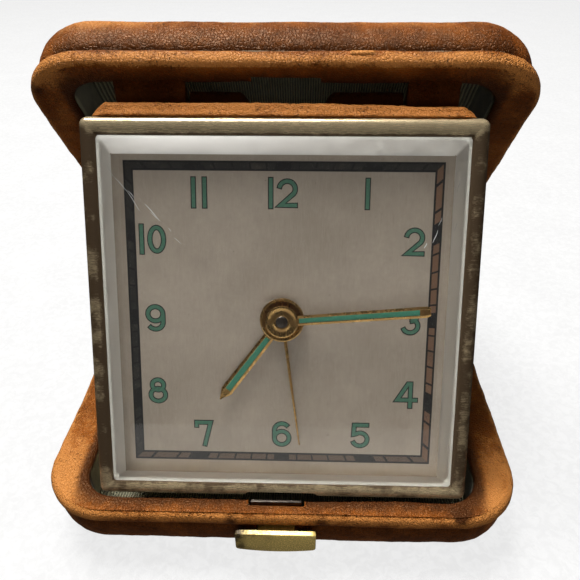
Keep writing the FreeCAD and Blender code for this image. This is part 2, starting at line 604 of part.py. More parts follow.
def make_going_train():
    hx, hy = HANDS_AT
    wheel = gear(HANDS_AT, CENTRE_TEETH, CENTRE_MODULE, -8.0, -7.6, facing(HANDS_AT, THIRD_AT))
    wheel = spoked(wheel, HANDS_AT, -8.0, -7.6, 1.6, 5.8, 5)
    pinion = gear(HANDS_AT, CENTRE_LEAVES, BARREL_MODULE, -11.6, -10.4,
                  mesh_phase(CENTRE_LEAVES, HANDS_AT, TIME_BARREL_AT), True)
    staff = rod(hx, hy, -16.0, STAFF_TOP_Z, THROUGH_R)
    collar = rod(hx, hy, -10.4, -7.6, 0.8)
    add("centre_wheel", fuse(staff, collar, pinion, wheel), CLOCK)

    train_wheel("third_wheel", THIRD_AT, THIRD_TEETH, THIRD_MODULE, (-9.4, -9.0), FOURTH_AT,
                THIRD_LEAVES, CENTRE_MODULE, (-8.3, -7.4), HANDS_AT)
    train_wheel("fourth_wheel", FOURTH_AT, FOURTH_TEETH, FOURTH_MODULE, (-10.6, -10.2), ESCAPE_AT,
                FOURTH_LEAVES, THIRD_MODULE, (-9.6, -8.8), THIRD_AT)

    escape_r = 3.4
    points = []
    for tooth in range(15):
        base_angle = tooth * 24.0
        for inset, turn in ((0.8, 0), (0.0, 3), (0.0, 5), (0.8, 16)):
            points.append(polar(ESCAPE_AT, escape_r - inset, base_angle + turn))
    wheel = spoked(prism(points, -8.9, -8.6), ESCAPE_AT, -8.9, -8.6, 0.9, 2.3, 4)
    pinion = gear(ESCAPE_AT, ESCAPE_LEAVES, FOURTH_MODULE, -10.8, -10.0,
                  mesh_phase(ESCAPE_LEAVES, ESCAPE_AT, FOURTH_AT), True)
    shaft = arbor(ESCAPE_AT, BACK_PLATE_Z + 0.1, FRONT_PLATE_Z - 0.1, 0.28, False)
    low = rod(ESCAPE_AT[0], ESCAPE_AT[1], BACK_PLATE_Z - 0.7, BACK_PLATE_Z + 0.1, 0.28)
    high = rod(ESCAPE_AT[0], ESCAPE_AT[1], FRONT_PLATE_Z - 0.1, FRONT_PLATE_Z + 0.7, 0.28)
    add("escape_wheel", fuse(shaft, low, high, pinion, wheel), CLOCK)

    px, py = PALLET_AT
    toward = facing(PALLET_AT, ESCAPE_AT)
    tips = [polar(PALLET_AT, 3.6, toward + side * 62) for side in (-1, 1)]
    arms = []
    for side, tip in zip((-1, 1), tips):
        back = toward + side * 150
        root = [polar(PALLET_AT, 0.5, back), polar(PALLET_AT, 0.5, toward - side * 30)]
        arms.append(prism([*root, tip, polar(tip, 0.6, back)], -9.0, -8.5))
    pins = [rod(x, y, -9.0, -8.3, 0.22) for x, y in tips]
    fork = prism([polar(PALLET_AT, 0.5, 145), polar(PALLET_AT, 0.5, 325),
                  polar(PALLET_AT, 3.9, 240), polar(PALLET_AT, 3.9, 230)], -9.0, -8.5)
    lever = fuse(arbor(PALLET_AT, BACK_PLATE_Z + 0.1, FRONT_PLATE_Z - 0.1, 0.4),
                 rod(px, py, -9.0, -8.5, 0.8), fork, *arms, *pins)
    add("pallet_lever", lever, CLOCK)

    bx, by = BALANCE_AT
    rim = tube(bx, by, -10.2, -9.6, 5.2, 4.4)
    spoke = box(bx - 4.6, bx + 4.6, by - 0.35, by + 0.35, -10.1, -9.7)
    roller = rod(bx, by, -9.1, -8.8, 1.1)
    staff = arbor(BALANCE_AT, BACK_PLATE_Z + 0.1, FRONT_PLATE_Z - 0.1, 0.4)
    add("balance_wheel", fuse(staff, rod(bx, by, -10.2, -9.6, 1.0), rim, spoke, roller), CLOCK)
    add("hairspring", spiral(BALANCE_AT, -11.2, -10.8, 0.9, 0.42, 4, 0.14), CLOCK)


def winding(prefix, at, teeth, module, partner, drum_r, coils):
    """A mainspring barrel with its winding arbor, ratchet wheel, click and key."""
    x, y = at
    toothed = gear(at, teeth, module, -11.4, -10.8, facing(at, partner))
    drum = tube(x, y, -10.8, -8.4, drum_r, drum_r - 0.4)
    lid_disc = rod(x, y, -8.4, -8.2, drum_r)
    barrel = fuse(toothed, drum, lid_disc).cut(rod(x, y, -13, -7, KEY_ARBOR_R + RUN))
    add(prefix + "_barrel", barrel, CLOCK)
    add(prefix + "_mainspring", spiral(at, -10.6, -8.7, 1.7, 0.75, coils, 0.25), CLOCK)

    shaft = fuse(rod(x, y, -16.8, -8.0, KEY_ARBOR_R), rod(x, y, -8.0, FRONT_PLATE_Z + 0.7, ARBOR_R))
    add(prefix + "_winding_arbor", shaft, CLOCK)
    ratchet_r = 3.0
    points = []
    for tooth in range(18):
        angle = tooth * 20.0
        points += [polar(at, ratchet_r - 0.5, angle), polar(at, ratchet_r, angle + 1)]
        points.append(polar(at, ratchet_r - 0.25, angle + 10))
    ratchet = prism(points, -13.5, -12.9).cut(rod(x, y, -15, -11, KEY_ARBOR_R))
    add(prefix + "_ratchet_wheel", ratchet, CLOCK)

    hub = tube(x, y, -18.0, CASE_BACK_Z - 0.3, 1.8, KEY_ARBOR_R).fuse(rod(x, y, -18.0, -16.8, 1.8))
    wing = slab(x - 5.6, x + 5.6, y - 0.6, y + 0.6, 0.5, -18.4, -16.3)
    wing = wing.cut(rod(x, y, -16.8, -15, KEY_ARBOR_R))
    add(prefix + "_winding_key", fuse(hub, wing), CLOCK)


def click(at, away):
    """A pawl whose nose rides just clear of the ratchet's tips."""
    pivot = polar(at, 5.2, away)
    nose = polar(at, 3.12, away - 28)
    heel = polar(pivot, 0.9, away + 40)
    arm = prism([polar(pivot, 0.7, away), nose, polar(pivot, 0.7, away - 120), heel], -13.5, -12.9)
    boss = rod(pivot[0], pivot[1], -13.5, -12.7, 0.8)
    return fuse(arm, boss)


def make_barrels():
    winding("time", TIME_BARREL_AT, BARREL_TEETH, BARREL_MODULE, HANDS_AT, 7.2, 6)
    winding("alarm", ALARM_BARREL_AT, STRIKE_TEETH, STRIKE_MODULE, STAR_AT, 6.2, 5)
    pawls = [click(TIME_BARREL_AT, 200), click(ALARM_BARREL_AT, 160)]
    add("ratchet_clicks", Part.makeCompound(pawls), CLOCK)


def make_alarm_work():
    sx, sy = STAR_AT
    star = []
    for tooth in range(12):
        star += [polar(STAR_AT, 1.1, tooth * 30), polar(STAR_AT, 1.7, tooth * 30 + 15)]
    pinion = gear(STAR_AT, STAR_LEAVES, STRIKE_MODULE, -11.5, -10.7,
                  mesh_phase(STAR_LEAVES, STAR_AT, ALARM_BARREL_AT), True)
    shaft = arbor(STAR_AT, BACK_PLATE_Z + 0.1, FRONT_PLATE_Z - 0.1)
    star_wheel = fuse(shaft, pinion, prism(star, -9.6, -9.2))
    add("alarm_star_wheel", star_wheel, CLOCK)

    hx, hy = HAMMER_AT
    z0, z1 = -9.7, -9.1
    far = hx + 13.0
    near = hx - 4.9
    arm = prism([(hx, hy - 0.5), (far, hy + 1.4), (far, hy + 2.4), (hx, hy + 0.5)], z0, z1)
    tail = prism([(hx, hy + 0.5), (near, hy - 1.3), (near, hy - 1.9), (hx, hy - 0.5)], z0, z1)
    head = rod(hx + 13.6, hy + 1.9, -10.3, -8.5, 1.4)
    shaft = arbor(HAMMER_AT, BACK_PLATE_Z + 0.1, FRONT_PLATE_Z - 0.1)
    add("alarm_hammer", fuse(shaft, rod(hx, hy, z0, z1, 1.0), arm, tail, head), CLOCK)

    x, y = STOP_AT
    stop = fuse(rod(x, y, -16.6, -11.0, 0.8), rod(x, y, -17.4, -16.6, 1.7))
    add("alarm_stop_button", stop, CLOCK)

    ax, ay = ALARM_SET_AT
    pinion = gear(ALARM_SET_AT, SETTING_LEAVES, ALARM_MODULE, -4.9, -4.4,
                  mesh_phase(SETTING_LEAVES, ALARM_SET_AT, HANDS_AT), True)
    add("alarm_setting_arbor", fuse(rod(ax, ay, -16.5, -4.4, THROUGH_R), pinion), CLOCK)
    add("alarm_setting_knob", knob(ALARM_SET_AT, 2.5, -17.4), CLOCK)


def knob(at, r, z0):
    """A knurled knob pressed on an arbor's end outside the case back."""
    x, y = at
    top = CASE_BACK_Z - 0.4
    body = rod(x, y, z0, top, r)
    notches = 20
    for i in range(notches):
        nx, ny = polar(at, r + 0.12, 360.0 * i / notches)
        body = body.cut(rod(nx, ny, z0 - 1, top + 1, 0.25))
    return body.cut(rod(x, y, z0 + 0.9, top + 1, THROUGH_R))


def on_dial(piece, direction):
    """Turns a piece drawn along +X to its direction on the dial, about the hands' axis."""
    piece.rotate(Vector(0, 0, 0), Vector(0, 0, 1), direction)
    piece.translate(Vector(HANDS_AT[0], HANDS_AT[1], 0))
    return piece


def hand(direction, z, hub_r, bore, points):
    """A flat hand with a round hub, pressed on a tube of radius bore."""
    blade = fuse(prism(points, z, z + HAND_T), rod(0, 0, z, z + HAND_T, hub_r))
    return on_dial(blade.cut(rod(0, 0, z - 1, z + 1, bore)), direction)


def inlaid(direction, z, points):
    return on_dial(prism(points, z, z + LUME_T), direction)


MINUTE_DIRECTION = 6.3      # degrees from the dial's right, anticlockwise
HOUR_DIRECTION = 233.2
ALARM_DIRECTION = 277.6
ALARM_HAND_Z = -3.2         # undersides of the hands, above the dial at DIAL_Z
HOUR_HAND_Z = -2.6
MINUTE_HAND_Z = -1.35
HAND_T = 0.2
LUME_T = 0.1
CANNON_R = 0.85
HOUR_TUBE_R = 1.15
ALARM_TUBE_R = 1.48
STAFF_TOP_Z = MINUTE_HAND_Z + 0.45


def make_hands_work():
    hx, hy = HANDS_AT
    cannon = gear(HANDS_AT, CANNON_LEAVES, CANNON_MODULE, -6.3, -5.6,
                  mesh_phase(CANNON_LEAVES, HANDS_AT, MINUTE_AT), True)
    cannon_top = MINUTE_HAND_Z + HAND_T + 0.1
    cannon = fuse(cannon, rod(hx, hy, -5.6, cannon_top, CANNON_R))
    cannon = cannon.cut(rod(hx, hy, -8, 0, THROUGH_R))
    add("cannon_pinion", cannon, CLOCK)

    wheel = gear(MINUTE_AT, MINUTE_TEETH, CANNON_MODULE, -6.2, -5.8, facing(MINUTE_AT, HANDS_AT))
    pinion = gear(MINUTE_AT, MINUTE_LEAVES, HOUR_MODULE, -5.8, -5.0,
                  mesh_phase(MINUTE_LEAVES, MINUTE_AT, HANDS_AT), True)
    mx, my = MINUTE_AT
    stud = rod(mx, my, -7.1, -5.0, THROUGH_R)
    add("minute_wheel", fuse(wheel, pinion, stud), CLOCK)

    wheel = gear(HANDS_AT, HOUR_TEETH, HOUR_MODULE, -5.45, -5.1, facing(HANDS_AT, MINUTE_AT))
    hour_top = HOUR_HAND_Z + HAND_T + 0.05
    wheel = fuse(wheel, rod(hx, hy, -5.1, hour_top, HOUR_TUBE_R))
    wheel = wheel.cut(rod(hx, hy, -7, 0, CANNON_R + RUN))
    add("hour_wheel", wheel, CLOCK)
    wheel = gear(HANDS_AT, ALARM_TEETH, ALARM_MODULE, -4.85, -4.5, facing(HANDS_AT, ALARM_SET_AT))
    alarm_top = ALARM_HAND_Z + HAND_T + 0.05
    wheel = fuse(wheel, rod(hx, hy, -4.5, alarm_top, ALARM_TUBE_R))
    wheel = wheel.cut(rod(hx, hy, -7, 0, HOUR_TUBE_R + RUN))
    add("alarm_wheel", wheel, CLOCK)

    needle = [(0, -0.22), (21.5, -0.08), (21.5, 0.08), (0, 0.22)]
    add("alarm_hand", hand(ALARM_DIRECTION, ALARM_HAND_Z, 2.3, ALARM_TUBE_R, needle), CLOCK)
    baton = [(1.5, -0.85), (14.8, -0.95), (16.6, 0.0), (14.8, 0.95), (1.5, 0.85)]
    add("hour_hand", hand(HOUR_DIRECTION, HOUR_HAND_Z, 2.9, HOUR_TUBE_R, baton), CLOCK)
    inlay = [(3.1, -0.4), (14.3, -0.45), (14.3, 0.45), (3.1, 0.4)]
    add("hour_hand_lume", inlaid(HOUR_DIRECTION, HOUR_HAND_Z + HAND_T, inlay), CLOCK)
    baton = [(1.2, -0.78), (22.4, -0.88), (23.0, -0.6), (23.0, 0.6), (22.4, 0.88), (1.2, 0.78)]
    add("minute_hand", hand(MINUTE_DIRECTION, MINUTE_HAND_Z, 2.0, CANNON_R, baton), CLOCK)
    inlay = [(2.3, -0.33), (21.2, -0.38), (21.2, 0.38), (2.3, 0.33)]
    add("minute_hand_lume", inlaid(MINUTE_DIRECTION, MINUTE_HAND_Z + HAND_T, inlay), CLOCK)
    add("hand_setting_knob", knob(HANDS_AT, 2.8, -17.2), CLOCK)


def make_regulator():
    bx, by = BALANCE_AT
    z0, z1 = BACK_PLATE_Z - PLATE_T - 0.5, BACK_PLATE_Z - PLATE_T
    tip = polar(BALANCE_AT, 5.5, REGULATOR_DIRECTION)
    side = REGULATOR_DIRECTION + 90
    root = [polar(BALANCE_AT, 0.7, side), polar(BALANCE_AT, 0.7, side + 180)]
    arm = prism([*root, polar(tip, 0.35, side + 180), polar(tip, 0.35, side)], z0, z1)
    tip_pin = rod(tip[0], tip[1], CASE_BACK_Z - 0.7, z1, 0.35)
    ring = tube(bx, by, z0, z1, 1.7, 0.7)
    arm = arm.cut(rod(bx, by, z0 - 1, z1 + 1, 0.7))
    add("regulator_lever", fuse(ring, arm, tip_pin), CLOCK)


def main():
    make_case()
    make_clock_hinge()
    make_clock_body()
    make_plates()
    make_going_train()
    make_barrels()
    make_alarm_work()
    make_hands_work()
    make_regulator()
    os.makedirs("parts", exist_ok=True)
    for name, shape in PARTS.items():
        shape.exportStep("parts/" + name + ".step")
        print(f"{name:24s} solids {len(shape.Solids)} valid {shape.isValid()}")


main()
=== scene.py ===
import json
import math

import bmesh
import bpy
import numpy as np
from mathutils import Matrix, Vector, noise


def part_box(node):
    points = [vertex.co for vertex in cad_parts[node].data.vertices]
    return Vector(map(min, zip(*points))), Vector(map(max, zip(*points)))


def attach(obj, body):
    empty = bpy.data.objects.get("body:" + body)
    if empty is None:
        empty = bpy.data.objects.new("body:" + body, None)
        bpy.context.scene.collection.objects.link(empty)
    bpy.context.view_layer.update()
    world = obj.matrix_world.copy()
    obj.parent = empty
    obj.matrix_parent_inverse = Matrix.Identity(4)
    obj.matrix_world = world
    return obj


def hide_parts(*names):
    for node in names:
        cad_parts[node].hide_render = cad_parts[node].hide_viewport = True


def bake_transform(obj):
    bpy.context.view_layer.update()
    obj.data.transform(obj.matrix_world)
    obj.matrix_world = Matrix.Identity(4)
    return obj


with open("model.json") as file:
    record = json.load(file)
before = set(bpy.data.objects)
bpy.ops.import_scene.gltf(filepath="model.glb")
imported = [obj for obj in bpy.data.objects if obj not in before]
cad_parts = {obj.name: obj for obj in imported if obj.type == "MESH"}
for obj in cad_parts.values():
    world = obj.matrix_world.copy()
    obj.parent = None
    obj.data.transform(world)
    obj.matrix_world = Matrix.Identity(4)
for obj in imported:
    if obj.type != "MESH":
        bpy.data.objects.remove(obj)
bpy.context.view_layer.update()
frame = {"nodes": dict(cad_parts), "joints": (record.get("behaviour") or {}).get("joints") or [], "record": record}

# Looks of a travel alarm clock in a leather folding case. Helpers take millimetres and make metres.
MM = 0.001

# ---- driving dimensions, millimetres and degrees --------------------------------------------------
CASE_HALF = 40.0              # half width of a case half
CASE_FRONT = -40.0
CASE_BACK = 38.0
CASE_DEPTH = 13.0             # resting face to mouth plane of one half
CORNER_R = 11.0
LEATHER_T = 0.9
LIP = (7.0, 3.4, 3.0)         # width of the lip at the sides, front and spine
MOUTH_R = 6.0
LINING_T = 0.5
LID_OPENING = 51.7
FRAME_HALF = 30.15            # half the square bezel
BEZEL_WIDTH = 2.75
GLASS_HALF = 27.35
GLASS_BEVEL = 2.6
GLASS_FRONT = 2.13
GLASS_BACK = -0.6
DIAL_Z = -3.6
TRACK_HALF = 24.45            # outer edge of the square minute track
TRACK_WIDTH = 1.5
HINGE_UP, HINGE_DEEP = 31.6, 7.0    # clock hinge axis from the middle of the bezel's front plane

# ---- frames of the case halves and the clock ------------------------------------------------------
joints = {j["name"]: j for j in frame["joints"]}
RIGHT = Vector((1, 0, 0))
NORMAL = Vector(joints["hands_drive"]["axis"])
UP = NORMAL.cross(RIGHT)
HINGE = Vector(joints["clock_hinge"]["pos_m"])
SPINE = Vector(joints["spine_hinge"]["pos_m"])
CLOCK_ORIGIN = HINGE - UP * HINGE_UP * MM + NORMAL * HINGE_DEEP * MM
CLOCK = Matrix((RIGHT, UP, NORMAL)).transposed().to_4x4()
CLOCK.translation = CLOCK_ORIGIN
CLOCK_TURN = math.atan2(UP.z, UP.y)
BASE = Matrix.Identity(4)
LID = (
    Matrix.Translation(SPINE)
    @ Matrix.Rotation(math.radians(180 - LID_OPENING), 4, "X")
    @ Matrix.Translation(-SPINE)
    @ Matrix.Translation((0, 2 * SPINE.y, 0))
    @ Matrix.Rotation(math.pi, 4, "Z")
)
HANDS = CLOCK.inverted() @ Vector(joints["hands_drive"]["pos_m"]) / MM
HANDS_X, HANDS_Y = HANDS.x, HANDS.y
LATCH_LOW, LATCH_HIGH = (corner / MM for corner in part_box("latch_button"))
LATCH_X = (LATCH_LOW.x + LATCH_HIGH.x) / 2
LATCH_HALF = (LATCH_HIGH.x - LATCH_LOW.x) / 2
LATCH_TOP = 10.5


# ---- materials ------------------------------------------------------------------------------------
class Shader:
    """One procedural material, with short calls for the nodes it is made of."""

    def __init__(self, name, turn=0.0):
        self.material = bpy.data.materials.new(name)
        self.material.use_nodes = True
        self.tree = self.material.node_tree
        self.tree.nodes.clear()
        coordinates = self.node("ShaderNodeTexCoord")
        mapping = self.node("ShaderNodeMapping", {"Vector": coordinates.outputs["Object"]})
        mapping.inputs["Rotation"].default_value = (-turn, 0, 0)
        self.place = mapping.outputs[0]

    def put(self, socket, value):
        """Links a socket to another node's output, or sets its value; colours have three numbers."""
        if isinstance(value, bpy.types.NodeSocket):
            self.tree.links.new(value, socket)
        elif socket.type == "RGBA":
            socket.default_value = (*value, 1)
        else:
            socket.default_value = value

    def node(self, kind, inputs=None, **settings):
        made = self.tree.nodes.new(kind)
        for key, value in settings.items():
            setattr(made, key, value)
        for key, value in (inputs or {}).items():
            self.put(made.inputs[key], value)
        return made

    def stretched(self, x, y, z):
        made = self.node("ShaderNodeMapping", {"Vector": self.place})
        made.inputs["Scale"].default_value = (x, y, z)
        return made.outputs[0]

    def noise(self, size, detail=3.0, rough=0.55, stretch=None, distortion=0.0):
        """Noise from 0 to 1 whose features are about size millimetres."""
        place = self.stretched(*stretch) if stretch else self.place
        made = self.node(
            "ShaderNodeTexNoise",
            {"Vector": place, "Scale": 1 / (size * MM), "Detail": detail, "Roughness": rough,
             "Distortion": distortion},
        )
        return made.outputs[0]

    def cells(self, size):
        """Distance to the nearest border between cells about size millimetres wide."""
        inputs = {"Vector": self.place, "Scale": 1 / (size * MM)}
        return self.node("ShaderNodeTexVoronoi", inputs, feature="DISTANCE_TO_EDGE").outputs["Distance"]

    def attribute(self, name):
        return self.node("ShaderNodeAttribute", attribute_name=name).outputs["Fac"]

    def maths(self, operation, a, b=0.0, clamp=False):
        return self.node("ShaderNodeMath", {0: a, 1: b}, operation=operation, use_clamp=clamp).outputs[0]

    def spread(self, value, low, high, to_low=0.0, to_high=1.0):
        """Maps low..high to to_low..to_high, smoothly and clamped."""
        made = self.node(
            "ShaderNodeMapRange",
            {"Value": value, "From Min": low, "From Max": high, "To Min": to_low, "To Max": to_high},
            interpolation_type="SMOOTHSTEP",
        )
        return made.outputs[0]

    def mix(self, factor, a, b):
        made = self.node("ShaderNodeMix", data_type="RGBA")
        first, second = [socket for socket in made.inputs if socket.type == "RGBA"]
        self.put(made.inputs[0], factor)
        self.put(first, a)
        self.put(second, b)
        return [socket for socket in made.outputs if socket.type == "RGBA"][0]

    def bump(self, height, depth, normal=None):
        """Bump whose full height is depth millimetres."""
        inputs = {"Height": height, "Strength": 1.0, "Distance": depth * MM}
        if normal is not None:
            inputs["Normal"] = normal
        return self.node("ShaderNodeBump", inputs).outputs[0]

    def surface(self, **inputs):
        """Principled surface; underscores in the names stand for spaces."""
        named = {key.replace("_", " "): value for key, value in inputs.items()}
        return self.node("ShaderNodeBsdfPrincipled", named).outputs[0]

    def clear_to_lamps(self, shader, colour):
        """The surface for the camera, and plain clear colour for the light of lamps."""
        clear = self.node("ShaderNodeBsdfTransparent", {"Color": colour}).outputs[0]
        shadow = self.node("ShaderNodeLightPath").outputs["Is Shadow Ray"]
        return self.node("ShaderNodeMixShader", {0: shadow, 1: shader, 2: clear}).outputs[0]

    def done(self, shader):
        self.node("ShaderNodeOutputMaterial", {"Surface": shader})
        return self.material


def leather(name, tone=(1.0, 1.0, 1.0)):
    """Worn saddle leather: pebble grain, creases and rubbed pale edges; an attribute darkens it with dirt and with
    painted shade on the lip faces, in the groove and on the flanks.
    """
    s = Shader(name)

    def tint(r, g, b):
        return (r * tone[0], g * tone[1], b * tone[2])

    wear = s.attribute("wear")
    dirt_and_painted_shade = s.attribute("dirt_and_painted_shade")
    cloud = s.noise(8.0, 4, 0.6)
    patch = s.noise(1.6, 5, 0.7)
    speck = s.noise(0.5, 4, 0.7)
    hair = s.noise(0.22, 4, 0.7, distortion=0.5)
    colour = s.mix(s.spread(cloud, 0.34, 0.68), tint(0.19, 0.050, 0.007), tint(0.36, 0.106, 0.016))
    colour = s.mix(s.spread(patch, 0.40, 0.72, 0.0, 0.45), colour, tint(0.13, 0.034, 0.006))
    rubbed = s.maths("ADD", wear, s.spread(cloud, 0.3, 0.7, -0.15, 0.15))
    rubbed = s.maths("ADD", rubbed, s.spread(patch, 0.3, 0.7, -0.22, 0.22))
    rubbed = s.maths("ADD", rubbed, s.spread(hair, 0.3, 0.7, -0.22, 0.22))
    rubbed = s.spread(rubbed, 0.28, 0.9)
    colour = s.mix(rubbed, colour, tint(0.62, 0.245, 0.062))
    pits = s.maths("MULTIPLY", s.spread(speck, 0.41, 0.34), s.spread(cloud, 0.60, 0.45))
    colour = s.mix(s.maths("MULTIPLY", pits, 0.8), colour, tint(0.045, 0.014, 0.005))
    # Darkening towards a dark reddish brown: dirt, and painted shade on the lip faces, in the groove and on the
    # flanks.
    darkening = s.maths("ADD", dirt_and_painted_shade, s.spread(patch, 0.3, 0.7, -0.12, 0.16), clamp=True)
    colour = s.mix(s.spread(darkening, 0.05, 1.0), colour, tint(0.075, 0.022, 0.006))
    grain = s.cells(0.55)
    crease = s.noise(2.4, 4, 0.6, stretch=(1.0, 1.0, 0.5), distortion=0.4)
    normal = s.bump(s.spread(grain, 0.0, 0.18), 0.08)
    normal = s.bump(hair, 0.075, normal)
    normal = s.bump(crease, 0.16, normal)
    normal = s.bump(s.maths("MULTIPLY", pits, -1.0), 0.08, normal)
    rough = s.spread(patch, 0.25, 0.75, 0.26, 0.44)
    rough = s.maths("ADD", rough, s.maths("MULTIPLY", rubbed, 0.06))
    return s.done(s.surface(Base_Color=colour, Roughness=rough, Specular_IOR_Level=0.38, Normal=normal,
                            Specular_Tint=(1.0, 0.62, 0.32)))


def ribbed_cloth(name):
    """Olive lining whose fine ribs run from the spine to the front."""
    s = Shader(name)
    across = s.node("ShaderNodeSeparateXYZ", {0: s.place}).outputs["X"]
    rib_pitch = 0.46
    wobble = s.maths("MULTIPLY", s.noise(3.0, 2), 0.00012)
    phase = s.maths("MULTIPLY", s.maths("ADD", across, wobble), 2 * math.pi / (rib_pitch * MM))
    rib = s.maths("SINE", phase)
    thread = s.noise(0.14, 3, 0.7)
    stain = s.noise(6.0, 4, 0.6)
    colour = s.mix(s.spread(rib, -0.8, 0.7), (0.050, 0.050, 0.024), (0.36, 0.345, 0.22))
    colour = s.mix(s.spread(thread, 0.35, 0.7, 0.0, 0.5), colour, (0.44, 0.42, 0.29))
    colour = s.mix(s.spread(stain, 0.45, 0.75, 0.0, 0.6), colour, (0.11, 0.10, 0.055))
    normal = s.bump(rib, 0.07)
    normal = s.bump(thread, 0.05, normal)
    return s.done(s.surface(Base_Color=colour, Roughness=0.82, Normal=normal, Sheen_Weight=0.25,
                            Sheen_Roughness=0.4))


def aged_brass(name, turn, bright, dull, brushed=(0.06, 1.0, 1.0), shine=0.62):
    """Brass with brushing along one way, pin spots and rubbed edges, browned by an attribute of tarnish and
    painted shade.
    """
    s = Shader(name, turn)
    tarnish_and_painted_shade = s.attribute("tarnish_and_painted_shade")
    cloud = s.noise(4.0, 5, 0.65)
    spots = s.noise(0.5, 3, 0.6)
    lines = s.noise(0.12, 3, 0.6, stretch=brushed)
    brown = s.maths("ADD", tarnish_and_painted_shade, s.spread(cloud, 0.3, 0.7, -0.3, 0.3))
    brown = s.maths("ADD", brown, s.spread(lines, 0.3, 0.7, -0.12, 0.12))
    brown = s.spread(brown, 0.1, 0.9)
    colour = s.mix(brown, bright, dull)
    colour = s.mix(s.spread(spots, 0.30, 0.22, 0.0, 0.85), colour, (0.03, 0.018, 0.008))
    rough = s.maths("ADD", s.spread(brown, 0.0, 1.0, 0.24, 0.52), s.spread(lines, 0.3, 0.7, -0.05, 0.08))
    normal = s.bump(lines, 0.012)
    normal = s.bump(cloud, 0.03, normal)
    metal = s.spread(brown, 0.3, 1.0, shine, shine * 0.7)
    return s.done(s.surface(Base_Color=colour, Metallic=metal, Roughness=rough, Normal=normal))


def metal(name, colour, shade, rough, size, turn=0.0):
    """Plain metal with cloudy tone, fine tool lines and small scratches."""
    s = Shader(name, turn)
    cloud = s.noise(size * 2, 4, 0.6)
    line = s.noise(0.1, 2, 0.5, stretch=(1.0, 0.12, 1.0))
    tone = s.mix(s.spread(cloud, 0.3, 0.72), colour, shade)
    patches = s.spread(cloud, 0.3, 0.7, rough, rough + 0.16)
    roughness = s.maths("ADD", patches, s.spread(line, 0.3, 0.7, -0.05, 0.05))
    normal = s.bump(line, 0.008)
    return s.done(s.surface(Base_Color=tone, Metallic=1.0, Roughness=roughness, Normal=normal))


def pressed_board(name):
    """Brown pulp board."""
    s = Shader(name)
    pulp = s.noise(0.8, 5, 0.7)
    colour = s.mix(s.spread(pulp, 0.3, 0.7), (0.20, 0.15, 0.09), (0.33, 0.26, 0.17))
    return s.done(s.surface(Base_Color=colour, Roughness=0.9, Normal=s.bump(pulp, 0.05)))


def satin_dial(name, turn):
    """Silvered dial: satin vertical grain, soft clouds and a few dark specks."""
    s = Shader(name, turn)
    grain = s.noise(0.14, 3, 0.6, stretch=(1.0, 0.08, 1.0))
    cloud = s.noise(14.0, 4, 0.55)
    mottle = s.noise(0.7, 3, 0.6)
    specks = s.noise(0.55, 2, 0.5)
    colour = s.mix(s.spread(cloud, 0.3, 0.7), (0.36, 0.309, 0.258), (0.45, 0.392, 0.332))
    colour = s.mix(s.spread(grain, 0.3, 0.7, 0.0, 0.22), colour, (0.58, 0.51, 0.43))
    colour = s.mix(s.spread(mottle, 0.35, 0.7, 0.0, 0.12), colour, (0.24, 0.20, 0.165))
    colour = s.mix(s.spread(specks, 0.235, 0.20, 0.0, 0.8), colour, (0.05, 0.042, 0.035))
    normal = s.bump(grain, 0.006)
    return s.done(s.surface(Base_Color=colour, Metallic=0.15, Roughness=0.55, Normal=normal))


def clear_glass(name):
    """Crystal; lamps shine straight through so that the dial is lit."""
    s = Shader(name)
    smear = s.noise(7.0, 4, 0.6)
    glass = s.surface(Base_Color=(0.97, 0.965, 0.95), Roughness=s.spread(smear, 0.45, 0.8, 0.015, 0.10),
                      IOR=1.48, Transmission_Weight=1.0, Specular_IOR_Level=0.6)
    return s.done(s.clear_to_lamps(glass, (0.95, 0.945, 0.93)))


def hazy_bevel(name):
    """The crystal's ground edge: clear but milky, worn to a soft grey."""
    s = Shader(name)
    smear = s.noise(2.5, 5, 0.7)
    fine = s.noise(0.3, 4, 0.7)
    glass = s.surface(Base_Color=(0.95, 0.95, 0.93), Roughness=0.34, IOR=1.48, Transmission_Weight=1.0)
    milk = s.mix(s.spread(smear, 0.3, 0.7), (0.62, 0.61, 0.56), (0.78, 0.77, 0.71))
    haze = s.surface(Base_Color=milk, Roughness=0.45, Specular_IOR_Level=0.5, Normal=s.bump(fine, 0.01))
    share = s.spread(smear, 0.25, 0.75, 0.22, 0.36)
    body = s.node("ShaderNodeMixShader", {0: share, 1: glass, 2: haze}).outputs[0]
    return s.done(s.clear_to_lamps(body, (0.9, 0.9, 0.88)))


def paint(name, colour, worn, rough, size, turn=0.0, threshold=(0.5, 0.8)):
    """Printed or filled paint, patchy at a small scale."""
    s = Shader(name, turn)
    patch = s.noise(size, 4, 0.65)
    tone = s.mix(s.spread(patch, *threshold), colour, worn)
    return s.done(s.surface(Base_Color=tone, Roughness=rough, Normal=s.bump(patch, 0.01)))


def plaster(name):
    """White plaster that shines a little by itself, so that it stays evenly pale."""
    s = Shader(name)
    trowel = s.noise(18.0, 5, 0.6, distortion=0.6)
    fine = s.noise(1.7, 4, 0.6, distortion=0.8)
    colour = s.mix(s.spread(trowel, 0.35, 0.7), (0.13, 0.13, 0.13), (0.15, 0.15, 0.15))
    relief = s.mix(s.spread(fine, 0.38, 0.62), (0.945, 0.945, 0.945), (1.0, 1.0, 1.0))
    normal = s.bump(trowel, 0.9)
    normal = s.bump(fine, 0.12, normal)
    return s.done(s.surface(Base_Color=colour, Roughness=0.95, Normal=normal, Specular_IOR_Level=0.0,
                            Emission_Color=relief, Emission_Strength=0.82))


